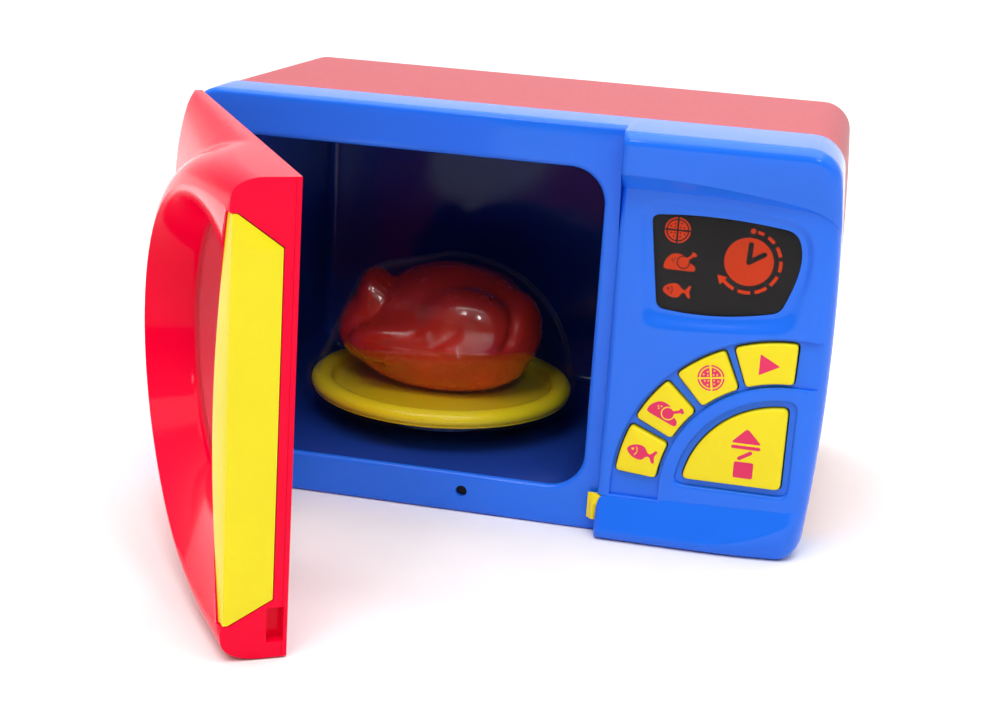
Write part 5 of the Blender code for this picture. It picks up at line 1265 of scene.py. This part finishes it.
def fine_ring(y, inset):
    """The housing's outline at a place along Y, with closely spaced points."""
    share = (y - FRONT_Y) / HOUSING_DEPTH
    half = HALF_WIDTH - REAR_SIDE_TAPER * share - inset
    top = HOUSING_HEIGHT - REAR_TOP_FALL * share - inset
    outline = rounded_outline(-half, half, inset, top, CORNER_RADIUS - inset, CASE_ARC_STEPS,
                              CASE_SIDE_STEPS)
    return [Vector((bulged(x, z), y, z)) for x, z in outline]


def mouth_profile(radius, start, flare):
    """The profile of a round hole from its floor out through the back, flared at its mouth."""
    return [(radius, start), (radius, REAR_Y - flare), (radius + flare, REAR_Y),
            (radius + flare, REAR_Y + OVERRUN)]


def make_rear_case():
    """The rear shell with its rounded back, screw wells, speaker holes and battery way."""
    front = FRONT_Y + FRONT_SHELL_DEPTH + GAP
    rings = []
    for inset in (0.0, WALL):
        part = [fine_ring(front, inset + CREASE_ROUND), fine_ring(front + CREASE_ROUND, inset)]
        part += [fine_ring(mix(front, REAR_Y, share), inset) for share in (0.3, 0.6, 0.9)]
        part += [fine_ring(REAR_Y - inset - run, inset + turn_in)
                 for turn_in, run in quarter_round(REAR_EDGE_RADIUS - inset, 8)]
        rings = list(reversed(rings)) if inset else part
        if inset:
            part = part[1:]
            rings = rings + [fine_ring(front, WALL)] + part
    shell = rings_body("rear_case", rings, "red")
    for x, z in BOSS_PLACES:
        add(shell, rod("boss", (x, 0, z), REARWARD, BOSS_RADIUS, BOSS_FRONT_Y, REAR_Y - WALL / 2))
    seat = FRONT_Y + BOSS_FLOOR_Y
    way = SCREW_RADIUS + SCREW_CLEARANCE
    well = mouth_profile(BOSS_BORE_RADIUS, seat, CREASE_ROUND)
    for x, z in BOSS_PLACES:
        cut(shell, turned("boss_well", (x, 0, z), REARWARD, well, ""))
        cut(shell, rod("boss_way", (x, 0, z), REARWARD, way, BOSS_FRONT_Y - OVERRUN, seat + OVERRUN))
    hole = mouth_profile(GRILLE_HOLE_RADIUS, REAR_Y - WALL - OVERRUN, CREASE_ROUND / 2)
    for x, z in grille_places():
        cut(shell, turned("grille_hole", (x, 0, z), REARWARD, hole, "", steps=20))
    low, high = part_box("battery_door")
    way_low = (low.x - CELL_ROOM, REAR_Y - WALL - OVERRUN, low.z - CELL_ROOM)
    way_high = (high.x + CELL_ROOM, REAR_Y + OVERRUN, high.z + CELL_ROOM)
    cut(shell, box("battery_way", way_low, way_high))
    return put(shell, "housing", "rear_housing")


def make_liner_case():
    """The oven's inner box with rounded corners and a rounded turn into its back wall."""
    front = FRONT_Y + WALL + GAP
    back = REAR_Y - WALL - GAP - LINER_WALL

    def outline(y, grow):
        taper = LINER_TAPER * (y - front) / (back - front)
        points = rounded_outline(OPENING_LEFT + taper - grow, OPENING_RIGHT - taper + grow,
                                 OPENING_BOTTOM - grow, OPENING_TOP - taper + grow,
                                 OPENING_RADIUS + grow, 12, 6)
        return at_depth(points, y)

    turn_in = LINER_WALL * 2
    rings = [outline(back - run, -inset) for run, inset in quarter_round(turn_in, 6)]
    rings += [outline(mix(back - turn_in, front, share), 0.0) for share in (0.33, 0.66, 1.0)]
    rings += [outline(front, LINER_WALL), outline(back + LINER_WALL, LINER_WALL)]
    # Navy: painted shade of the cavity, darker than the housing's blue.
    liner = rings_body("oven_lining", rings, "navy_blue")
    way = SPINDLE_RADIUS + RUNNING_GAP
    cut(liner, rod("spindle_way", TURNTABLE_CENTRE, UP, way,
                   OPENING_BOTTOM - LINER_WALL - OVERRUN, OPENING_BOTTOM + OVERRUN))
    return put(liner, "housing", "oven_liner")


def make_keys():
    """The four fan keys and the open key, each with a rounded rim and a faintly crowned face."""
    for name, degrees in FAN_KEY_DEGREES.items():
        cap = fine_key(name + "_cap", lambda grow, span=degrees: sector_outline(span, grow))
        put(cap, name.replace("key_", "") + "_key", name)
    cap = fine_key("key_open_cap", open_key_outline)
    start = FACE_INNER_Y + GAP + KEY_FLANGE / 2
    right = STEM_X + STEM_WIDTH
    wedge = [(STEM_X, start), (right, start), (right, STEM_END_Y),
             (STEM_X, STEM_END_Y + STEM_WIDTH * RAMP_RISE)]
    add(cap, prism_z("open_wedge", wedge, STEM_Z, STEM_Z + STEM_HEIGHT))
    put(cap, "open_key", "key_open")


def fine_key(name, outline_of):
    """A key's cap: a faint crown, a rounded rim and straight sides back to behind the panel."""
    rings = [at_depth(outline_of(-KEY_CROWN_INSET), KEY_FACE_Y - KEY_CROWN)]
    rings += [at_depth(outline_of(-inset), KEY_FACE_Y + run)
              for run, inset in quarter_round(KEY_ROUNDING, 6)]
    rings.append(at_depth(outline_of(0.0), FACE_INNER_Y + GAP + KEY_FLANGE))
    return rings_body(name, rings, "yellow")


def make_tongue():
    """The latch's tongue: a wedge with a sloped face, through the panel's left wall."""
    front = FRONT_Y + LATCH_FRONT
    back = front + LATCH_THICKNESS + TONGUE_FIT
    tip = PANEL_LEFT - LATCH_TIP - TONGUE_FIT
    end = PANEL_LEFT + WALL * 2
    outline = [(tip, back), (tip, back - CREASE_ROUND), (tip + CREASE_ROUND, back - CREASE_ROUND * 2),
               (PANEL_LEFT - CREASE_ROUND * 2, front), (end, front), (end, back)]
    tongue = prism_z("latch_tongue", outline, LATCH_BOTTOM - TONGUE_FIT,
                     LATCH_BOTTOM + TONGUE_HEIGHT, "yellow")
    soften(tongue, CREASE_ROUND / 2, 2)
    put(tongue, "latch_slide", None)


def make_plate_disc():
    """The turntable's plate: a fat rounded rim with a fine groove, round a sunk middle."""
    low = PLATE_BOTTOM
    profile = [(r * PLATE_RADIUS, low + h * (PLATE_TOP - low)) for r, h in PLATE_PROFILE_SHARES]
    disc = turned("plate_disc", TURNTABLE_CENTRE, UP, profile, "plate_yellow", 128)
    return put(disc, "turntable", "turntable_plate")


def make_hub_cone():
    """The blue foot under the plate, with a rounded shoulder and a raised foot ring."""
    low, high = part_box("turntable_hub")
    base, top = HUB_BASE_RADIUS, HUB_TOP_RADIUS
    span = high.z - low.z
    profile = [(base * 0.96, low.z), (base, low.z + span * 0.05), (base, low.z + span * 0.2),
               (base * 0.985, low.z + span * 0.26), (base * 0.93, low.z + span * 0.3)]
    profile += [(mix(base * 0.93, top, share), low.z + span * mix(0.3, 0.93, share))
                for share in (0.25, 0.5, 0.75, 1.0)]
    profile += [(top * 0.98, high.z)]
    cone = turned("hub_cone", TURNTABLE_CENTRE, UP, profile, "royal_blue", 96)
    cut(cone, rod("hub_bore", TURNTABLE_CENTRE, UP, SPINDLE_RADIUS + GAP,
                  low.z - OVERRUN, SPINDLE_TOP + GAP))
    return put(cone, "turntable", "turntable_hub")


def make_door_pieces():
    """The door's shell, its inner sheet, its window and its handle, turned about the hinge."""
    swing = Matrix.Rotation(-math.radians(DOOR_OPEN_DEGREES), 4, "Z")
    turn = Matrix.Translation((HINGE_X, HINGE_Y, 0)) @ swing
    shell = make_door_shell()
    seam_low = (DOOR_LENGTH - GAP, HINGE_SETBACK - SEAM_SETBACK, DOOR_BOTTOM - OVERRUN)
    seam_high = (DOOR_LENGTH + OVERRUN, seam_low[1] + GAP, DOOR_TOP + OVERRUN)
    cut(shell, box("edge_seam", seam_low, seam_high))
    lining = make_inner_panel()
    low = WINDOW_RAISE - WINDOW_THICKNESS - GAP - HINGE_SETBACK
    rim = WINDOW_RADIUS - GAP
    high = low + WINDOW_THICKNESS
    profile = [(rim - CREASE_ROUND, low), (rim, low + CREASE_ROUND), (rim, high - CREASE_ROUND),
               (rim - CREASE_ROUND, high)]
    pane = turned("door_pane", (WINDOW_U, 0, WINDOW_Z), FORWARD, profile, "clear", 128)
    grip = rings_body("door_grip", handle_sections(0.0, 0.0), "yellow")
    soften(grip, CREASE_ROUND, 3)
    pieces = ((shell, "door_shell", "magenta_red"), (lining, "door_inner_panel", "magenta_red"),
              (pane, "door_window", "clear"), (grip, "door_handle", "yellow"))
    for piece, node, slot in pieces:
        piece = settled(piece)
        piece.data.transform(turn)
        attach(piece, "door")
        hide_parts(node)


def cover_height_share(level):
    """The steep side's reach at a height, with its corners rounded off."""
    width = 0.05
    around = [steep_share(clamp(level + width * k)) for k in (-1, -0.5, 0, 0.5, 1)]
    return sum(around) / len(around)


def fine_cover_ring(radius, level, z):
    ring = []
    for a, b in circle(1.0, COVER_STEPS):
        round_share = math.sqrt(max(0.0, 1 - level ** 2))
        share = mix(cover_height_share(level), round_share, (1 + a) / 2)
        ring.append(Vector((TURNTABLE_X + radius * share * a, TURNTABLE_Y + radius * share * b, z)))
    return ring


def make_dome():
    """The clear cover, blown in one piece: a skirt round the plate, a step and the dome."""
    step_z = PLATE_TOP + GAP
    skirt_inner = PLATE_RADIUS + COVER_CLEARANCE
    skirt_outer = skirt_inner + COVER_WALL
    levels = [math.sin(math.pi / 2 * step / COVER_ROWS) * 0.995 for step in range(COVER_ROWS)]
    centre = (TURNTABLE_X, TURNTABLE_Y)

    def plain(radius, z):
        return [Vector((centre[0] + a, centre[1] + b, z)) for a, b in circle(radius, COVER_STEPS)]

    rings = [fine_cover_ring(PLATE_RADIUS - COVER_WALL, level, mix(step_z, COVER_TOP - COVER_WALL, level))
             for level in reversed(levels)]
    fillet = COVER_WALL * 0.5
    rings += [plain(skirt_inner - fillet, step_z), plain(skirt_inner, step_z - fillet),
              plain(skirt_inner, COVER_BOTTOM), plain(skirt_outer, COVER_BOTTOM),
              plain(skirt_outer, step_z), plain(skirt_outer - fillet, step_z + fillet),
              plain(skirt_outer - COVER_WALL, step_z + COVER_WALL)]
    rings += [fine_cover_ring(PLATE_RADIUS, level, mix(step_z + COVER_WALL, COVER_TOP, level))
              for level in levels]
    dome = rings_body("cover_dome", rings, "clear")
    return put(dome, "cover", "food_cover")


# The roast's lumps: a centre, with X and Y from the turntable's axis and Z from the floor, and radii
ROAST_LUMPS = (
    ((-0.002, 0.000, 0.0560), (0.0430, 0.0300, 0.0180)),
    ((0.000, 0.000, 0.0440), (0.0370, 0.0230, 0.0130)),
    ((0.003, 0.006, 0.0755), (0.0300, 0.0220, 0.0145)),
    ((-0.019, 0.000, 0.0690), (0.0140, 0.0150, 0.0100)),
    ((-0.0335, -0.002, 0.0715), (0.0085, 0.0130, 0.0145)),
    ((-0.039, 0.000, 0.0580), (0.0105, 0.0170, 0.0145)),
    ((0.014, -0.017, 0.0660), (0.0210, 0.0130, 0.0170)),
    ((0.014, 0.017, 0.0660), (0.0210, 0.0130, 0.0170)),
    ((0.034, 0.000, 0.0640), (0.0115, 0.0180, 0.0155)),
    ((-0.021, -0.0225, 0.0555), (0.0170, 0.0068, 0.0085)),
    ((-0.021, 0.0225, 0.0555), (0.0170, 0.0068, 0.0085)),
)
ROAST_CREASE = ((0.0125, 0.0690), (0.0240, 0.0205))
ROAST_CREASE_DEPTH = 0.0022
ROAST_SEAM_Z = 0.0570
ROAST_SEAM_RISE = 0.0003
ROAST_SHARPNESS = 3.4
ROAST_MIDDLE = (-0.002, 0.0, 0.057)
ROAST_POLE = 0.02
ROAST_SIDE_DEPTH = 0.016
ROAST_CREASE_SPREAD = 0.085
ROAST_CREASE_START = 0.55
ROAST_CREASE_FADE = 0.5
ROAST_SEAM_SPREAD = 0.00045
ROAST_SEAM_FADE = 0.004
ROAST_HALVINGS = 30
ROAST_COLUMNS = 240
ROAST_ROWS = 200
ROAST_REACH = 0.07


def roast_field(points):
    """How deep points lie in the roast: one or more is inside."""
    total = np.zeros(points.shape[:-1])
    for centre, radii in ROAST_LUMPS:
        place = np.array(centre) + np.array((TURNTABLE_X, TURNTABLE_Y, 0.0))
        away = (((points - place) / np.array(radii)) ** 2).sum(-1)
        total += np.exp(-ROAST_SHARPNESS * (away - 1))
    return total


def make_roast():
    """The roast, found along rays from its middle, with leg creases, a mould seam and a flat base."""
    low = PLATE_BOTTOM + PLATE_WALL + GAP
    middle = np.array(ROAST_MIDDLE) + np.array((TURNTABLE_X, TURNTABLE_Y, 0.0))
    polar = np.linspace(ROAST_POLE, math.pi - ROAST_POLE, ROAST_ROWS)
    turn = np.linspace(0, math.tau, ROAST_COLUMNS, endpoint=False)
    ways = np.stack([np.sin(polar)[:, None] * np.cos(turn)[None], np.sin(polar)[:, None] * np.sin(turn)[None],
                     np.cos(polar)[:, None] * np.ones_like(turn)[None]], -1)
    near, far = np.zeros(ways.shape[:2]), np.full(ways.shape[:2], ROAST_REACH)
    for _ in range(ROAST_HALVINGS):
        half = (near + far) / 2
        inside = roast_field(middle + ways * half[..., None]) >= 1
        near, far = np.where(inside, half, near), np.where(inside, far, half)
    points = middle + ways * near[..., None]
    (crease_x, crease_z), (crease_width, crease_height) = ROAST_CREASE
    across = (points[..., 0] - TURNTABLE_X - crease_x) / crease_width
    upright = (points[..., 2] - crease_z) / crease_height
    ring = np.hypot(across, upright)
    sides = np.clip(np.abs(points[..., 1] - TURNTABLE_Y) / ROAST_SIDE_DEPTH, 0, 1) ** 2
    facing = np.clip((across + ROAST_CREASE_START) / ROAST_CREASE_FADE, 0, 1)
    facing *= np.clip((points[..., 2] - ROAST_SEAM_Z) / ROAST_SEAM_FADE, 0, 1)
    dent = ROAST_CREASE_DEPTH * np.exp(-((ring - 1) / ROAST_CREASE_SPREAD) ** 2) * sides * facing
    seam = ROAST_SEAM_RISE * np.exp(-((points[..., 2] - ROAST_SEAM_Z) / ROAST_SEAM_SPREAD) ** 2)
    points = points + ways * (seam - dent)[..., None]
    points[..., 2] = np.maximum(points[..., 2], low)
    rings = [[Vector(point) for point in row] for row in points]
    roast = rings_body("roast", rings, "roast")
    return put(roast, "turntable", "toy_roast")


def slotted_screw(name, centre, seat, head_radius, head_height, length, node):
    """A screw with a rounded head and a cross cut into it."""
    profile = [(SCREW_RADIUS, seat - length), (SCREW_RADIUS, seat), (head_radius, seat)]
    profile += [(head_radius * math.cos(turn * HEAD_TURN_SHARE),
                 seat + head_height * (HEAD_EDGE_SHARE + (1 - HEAD_EDGE_SHARE) * math.sin(turn)))
                for turn in quarter_turns(5)]
    screw = turned(name, centre, REARWARD, profile, "steel")
    top = seat + head_height
    half_length, half_width = head_radius * CROSS_LENGTH_SHARE, head_radius * CROSS_WIDTH_SHARE
    for wide, tall in ((half_length, half_width), (half_width, half_length)):
        cross_low = (centre[0] - wide, top - head_height * CROSS_DEPTH_SHARE, centre[2] - tall)
        cut(screw, box("cross_cut", cross_low, (centre[0] + wide, top + OVERRUN, centre[2] + tall)))
    return put(screw, "housing", node)


def make_back_details():
    """The battery way's cover with its grip grooves, and the screws."""
    low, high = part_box("battery_door")
    corner = CREASE_ROUND * 4

    def ring(y, inset):
        return at_depth(rounded_outline(low.x + inset, high.x - inset, low.z + inset,
                                        high.z - inset, corner - inset, 8), y)

    rings = [ring(low.y, 0.0)]
    rings += [ring(high.y - run, inset) for inset, run in quarter_round(CREASE_ROUND, 4)]
    cover = rings_body("battery_cover", rings, "red")
    centre = (BATTERY_X, 0, COVER_SCREW_Z)
    seat = REAR_Y - SCREW_HEAD_HEIGHT / 2 - GAP
    mouth = mouth_profile(COVER_SCREW_RADIUS + GAP, seat, CREASE_ROUND)
    cut(cover, turned("cover_seat", centre, REARWARD, mouth, ""))
    cut(cover, rod("cover_way", centre, REARWARD, SCREW_RADIUS + SCREW_CLEARANCE, low.y - OVERRUN, REAR_Y))
    for row in range(7):
        z = low.z + GROOVE_PITCH * (row + 2)
        cut(cover, box("grip_groove", (BATTERY_X - GROOVE_REACH, REAR_Y - GROOVE_PITCH / 3, z),
                       (BATTERY_X + GROOVE_REACH, REAR_Y + OVERRUN, z + GROOVE_PITCH / 2)))
    put(cover, "housing", "battery_door")
    slotted_screw("cover_screw", centre, seat + GAP, COVER_SCREW_RADIUS, SCREW_HEAD_HEIGHT / 2,
                  SCREW_LENGTH - SCREW_HEAD_HEIGHT / 2, "battery_door_screw")
    seat = FRONT_Y + BOSS_FLOOR_Y + GAP
    for index, (x, z) in enumerate(BOSS_PLACES):
        slotted_screw("shell_screw", (x, 0, z), seat, SCREW_HEAD_RADIUS, SCREW_HEAD_HEIGHT, SCREW_LENGTH,
                      "case_screw_" + str(index + 1))


def disc(x, z, radius, steps=32):
    return arc(radius, 0, 360 * (steps - 1) / steps, steps - 1, (x, z))


def capsule(start, end, radius):
    """A stroke with round ends."""
    way = math.degrees(math.atan2(end[1] - start[1], end[0] - start[0]))
    return arc(radius, way - 90, way + 90, 10, end) + arc(radius, way + 90, way + 270, 10, start)


def flowing(corners):
    """A closed curve that runs smoothly through its corners."""
    steps = 6
    points = []
    for index, here in enumerate(corners):
        before, after = corners[index - 1], corners[(index + 1) % len(corners)]
        beyond = corners[(index + 2) % len(corners)]
        for step in range(steps):
            t = step / steps
            points.append(tuple(
                0.5 * (2 * b + (c - a) * t + (2 * a - 5 * b + 4 * c - d) * t ** 2
                       + (3 * b - a - 3 * c + d) * t ** 3)
                for a, b, c, d in zip(before, here, after, beyond)))
    return points


def slashed_disc():
    """A quartered flat cake: four rim arcs, four slices and three spots in each slice."""
    loops = []
    for quarter in range(4):
        start = 90 * quarter + 4
        loops.append(arc(1.0, start, start + 82, 12, (0, 0)) + arc(0.88, start + 82, start, 12, (0, 0)))
        middle = math.radians(start + 41)
        loops.append([(0.09 * math.cos(middle), 0.09 * math.sin(middle))]
                     + arc(0.78, start + 2, start + 80, 12, (0, 0)))
        for turn, reach in ((-20, 0.52), (17, 0.6), (3, 0.3)):
            spot = middle + math.radians(turn)
            loops.append(disc(reach * math.cos(spot), reach * math.sin(spot), 0.065, 12))
    return loops


ROAST_SIGN = ((-1.0, -0.38), (-0.9, 0.02), (-0.55, 0.42), (-0.1, 0.5), (0.3, 0.36), (0.62, 0.0),
              (0.93, -0.2), (1.0, -0.45), (0.8, -0.56), (0.0, -0.56), (-0.82, -0.54))
FISH_SIGN = ((-1.0, 0.0), (-0.75, 0.34), (-0.3, 0.5), (0.08, 0.44), (0.34, 0.16), (0.56, 0.1), (0.84, 0.42),
             (0.97, 0.34), (0.86, 0.0), (0.95, -0.38), (0.8, -0.46), (0.54, -0.14), (0.32, -0.18),
             (0.1, -0.46), (-0.32, -0.5), (-0.75, -0.32))
LEG = (0.22, -0.02)


def roast_leg():
    knob = (0.84, 0.5)
    return [disc(LEG[0], LEG[1], 0.36)], [capsule((0.45, 0.18), knob, 0.09)], \
        [disc(knob[0] - 0.02, knob[1] + 0.08, 0.11, 16)], [disc(knob[0] + 0.09, knob[1] - 0.01, 0.11, 16)]


def signs(kind):
    """Layers of a sign, each with its ink: 1 for the print and 0 for the ground showing through."""
    if kind == "cake":
        return [(1, slashed_disc())]
    if kind == "roast":
        spots = [disc(-0.5 + a, 0.1 + b, 0.05, 12) for a, b in ((0, 0), (0.17, 0.08), (0.08, -0.12))]
        layers = [(1, [flowing(ROAST_SIGN)] + spots), (0, [disc(LEG[0], LEG[1], 0.43)])]
        return layers + [(1, loops) for loops in roast_leg()]
    if kind == "fish":
        gill = arc(0.42, -48, 48, 10, (-0.72, 0.0)) + arc(0.36, 48, -48, 10, (-0.72, 0.0))
        return [(1, [flowing(FISH_SIGN), disc(-0.64, 0.1, 0.085, 16), gill])]
    if kind == "clock":
        layers = [(1, [disc(0, 0, 1.0, 64)]), (0, [capsule((0, -0.02), (0.03, 0.72), 0.105)]),
                  (0, [capsule((0, -0.02), (0.6, 0.36), 0.105)]), (1, [disc(0.06, 1.28, 0.11, 20)])]
        for start, end in ((79, 67), (58, 43), (34, 15), (7, -13), (-22, -43), (-51, -74), (-82, -105),
                           (-113, -138)):
            layers.append((1, [arc(1.35, start, end, 8, (0, 0)) + arc(1.21, end, start, 8, (0, 0))]))
        return layers + [(1, [[(-1.22, -0.66), (-0.8, -0.72), (-1.08, -1.06)]])]
    if kind == "go":
        return [(1, [eased_polygon(((-0.7, 0.9), (0.95, 0.0), (-0.7, -0.9)), 0.14, 5)])]
    square = ((-0.4, -0.34), (0.36, -0.34), (0.36, -1.0), (-0.4, -1.0))
    return [(1, [eased_polygon(((-0.6, 0.42), (0.0, 1.05), (0.6, 0.42)), 0.14, 5)]),
            (1, [capsule((-0.5, 0.26), (0.5, 0.26), 0.07)]),
            (1, [capsule((-0.22, -0.2), (0.2, 0.06), 0.075)]),
            (1, [eased_polygon(square, 0.08, 4)])]


def eased_polygon(corners, reach, steps):
    runs = [[here, corners[(index + 1) % len(corners)]] for index, here in enumerate(corners)]
    return eased_runs(runs, reach, 4, steps)


def make_print(name, kind, centre, scale, turn, y, surfaces, rider):
    """Print one sign flat on a face; each layer lies a hair in front of the one before."""
    cosine, sine = math.cos(math.radians(turn)) * scale, math.sin(math.radians(turn)) * scale
    for index, (ink, loops) in enumerate(signs(kind)):
        data = bpy.data.curves.new(name, "CURVE")
        data.dimensions = "2D"
        data.fill_mode = "BOTH"
        data.extrude = PRINT_LIFT / 3
        for loop in loops:
            spline = data.splines.new("POLY")
            spline.points.add(len(loop) - 1)
            spline.use_cyclic_u = True
            for point, (a, b) in zip(spline.points, loop):
                point.co = (centre[0] + a * cosine - b * sine, centre[1] + a * sine + b * cosine, 0.0, 1.0)
        drawn = placed(name + "_outline", data)
        mesh = bpy.data.meshes.new_from_object(drawn.evaluated_get(bpy.context.evaluated_depsgraph_get()))
        bpy.data.objects.remove(drawn, do_unlink=True)
        level = y - PRINT_LIFT * (1 + index / 2)
        mesh.transform(Matrix.Translation((0, level, 0)) @ Matrix.Rotation(math.pi / 2, 4, "X"))
        mesh.materials.clear()
        mesh.materials.append(SURFACES[surfaces[1 - ink]])
        printed = placed(name + "_" + str(index), mesh)
        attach(printed, rider)


def make_prints():
    """The signs: orange ones on the display's card and red ones on the keys."""
    card = ("print_orange", "black")
    for name, kind, centre, scale in (("card_cake", "cake", (0.0733, 0.1345), 0.0053),
                                      ("card_roast", "roast", (0.0753, 0.1217), 0.0064),
                                      ("card_fish", "fish", (0.0752, 0.1096), 0.0058),
                                      ("card_clock", "clock", (0.1028, 0.1246), 0.0099)):
        make_print(name, kind, centre, scale, 0, CARD_Y, card, "housing")
    keys = ("print_red", "yellow")
    face = KEY_FACE_Y - KEY_CROWN
    for name, kind, centre, scale, turn in (("pizza", "cake", (0.0926, 0.0758), 0.0055, 8),
                                            ("chicken", "roast", (0.0752, 0.0592), 0.0068, -24),
                                            ("fish", "fish", (0.0672, 0.0400), 0.0063, -12),
                                            ("start", "go", (0.1150, 0.0838), 0.0050, 0),
                                            ("open", "out", (0.1095, 0.0452), 0.0105, 0)):
        make_print(name + "_sign", kind, centre, scale, turn, face, keys, name + "_key")


# Camera, as fitted to the photograph
CAMERA_PLACE = (0.13981, -0.79531, 0.28775)
CAMERA_TURNS = (15.855, 10.845, 6.719)
FOCAL_PIXELS = 1808.5
CENTRE_PIXELS = (-12.8, -27.1)
IMAGE_WIDTH = 1000.0
SENSOR = 36.0


def make_camera():
    turns = [math.radians(turn) for turn in CAMERA_TURNS]
    seen = Matrix(((1, 0, 0), (0, 0, -1), (0, 1, 0)))
    about = [Matrix.Rotation(turn, 3, axis) for turn, axis in zip(turns, "XYZ")]
    rows = about[2] @ about[1] @ about[0] @ seen
    data = bpy.data.cameras.new("camera")
    data.sensor_width = SENSOR
    data.lens = FOCAL_PIXELS * SENSOR / IMAGE_WIDTH
    data.shift_x = -CENTRE_PIXELS[0] / IMAGE_WIDTH
    data.shift_y = CENTRE_PIXELS[1] / IMAGE_WIDTH
    data.clip_start = 0.01
    data.clip_end = 30.0
    camera = placed("camera", data)
    axes = Matrix((rows[0], -rows[1], -rows[2])).transposed().to_4x4()
    camera.matrix_world = Matrix.Translation(CAMERA_PLACE) @ axes
    bpy.context.scene.camera = camera


def area_light(name, place, target, size, power):
    data = bpy.data.lights.new(name, "AREA")
    data.shape = "RECTANGLE"
    data.size, data.size_y = size
    data.energy = power
    lamp = placed(name, data)
    way = Vector(target) - Vector(place)
    lamp.location = place
    lamp.rotation_euler = way.to_track_quat("-Z", "Y").to_euler()
    return lamp


def make_studio():
    """A pale sweep of floor and backdrop under soft boxes and a pale sky."""
    bpy.context.scene.view_settings.view_transform = "Standard"
    world = bpy.data.worlds.new("studio")
    bpy.context.scene.world = world
    world.use_nodes = True
    tree = world.node_tree
    way = add_node(tree, "SeparateXYZ", Vector=add_node(tree, "TexCoord").outputs["Generated"])
    lean = add_node(tree, "Math")
    lean.operation = "MULTIPLY_ADD"
    lean.inputs[1].default_value = 0.55
    tree.links.new(way.outputs["Y"], lean.inputs[0])
    tree.links.new(way.outputs["Z"], lean.inputs[2])
    glow = add_node(tree, "MapRange", Value=lean.outputs["Value"], From_Min=-0.25, From_Max=0.75,
                    To_Min=0.12, To_Max=0.95)
    feed(tree.nodes["Background"], Color=(1.0, 1.0, 1.0, 1.0), Strength=glow.outputs["Result"])
    points, faces = [], []
    width, front, bend, rise = 6.0, -4.0, 2.2, 3.5
    profile = [(front, 0.0), (bend, 0.0)]
    profile += [(bend + math.sin(turn), 1 - math.cos(turn))
                for turn in (math.radians(10 * step) for step in range(1, 10))]
    profile.append((bend + 1, rise))
    for y, z in profile:
        points += [Vector((-width, y, z)), Vector((width, y, z))]
    for step in range(len(profile) - 1):
        first = 2 * step
        faces.append((first, first + 1, first + 3, first + 2))
    sweep = body("studio_sweep", points, faces, SURFACES["floor"])
    area_light("overhead", (0.05, -0.35, 1.6), (0.0, 0.0, 0.0), (1.8, 1.4), 19)
    area_light("backdrop", (0.0, 1.2, 2.2), (0.0, 2.6, 0.6), (3.0, 1.0), 45)
    fill = area_light("front_fill", (-0.45, -1.55, 2.4), (0.0, 0.0, 0.08), (1.4, 0.7), 12)
    fill.visible_glossy = False
    area_light("window_left", (-0.3, -1.5, 1.3), (0.0, 0.0, 0.08), (0.24, 0.2), 2.6)
    area_light("window_right", (0.55, -1.5, 1.15), (0.0, 0.0, 0.08), (0.16, 0.3), 2.6)


NODE_SURFACES = {
    "indicator_lamp_1": "lamp_clear", "indicator_lamp_2": "lamp_clear", "indicator_lamp_3": "lamp_clear",
    "motor_pinion": "brass",
}


def dress_nodes():
    """Each node of the model that shows gets its own surface by its material slot."""
    slots = {entry["node"]: entry["material_slot"] for entry in frame["record"]["subparts"]}
    for name, node in frame["nodes"].items():
        surface = SURFACES[NODE_SURFACES.get(name, slots[name])]
        if not node.data.materials:
            node.data.materials.append(surface)
        for index in range(len(node.data.materials)):
            node.data.materials[index] = surface


def main():
    make_surfaces()
    make_camera()
    make_studio()
    dress_nodes()
    make_front_case()
    make_rear_case()
    make_back_details()
    make_liner_case()
    make_keys()
    make_tongue()
    make_display()
    make_prints()
    make_plate_disc()
    make_hub_cone()
    make_door_pieces()
    make_dome()
    make_roast()


main()
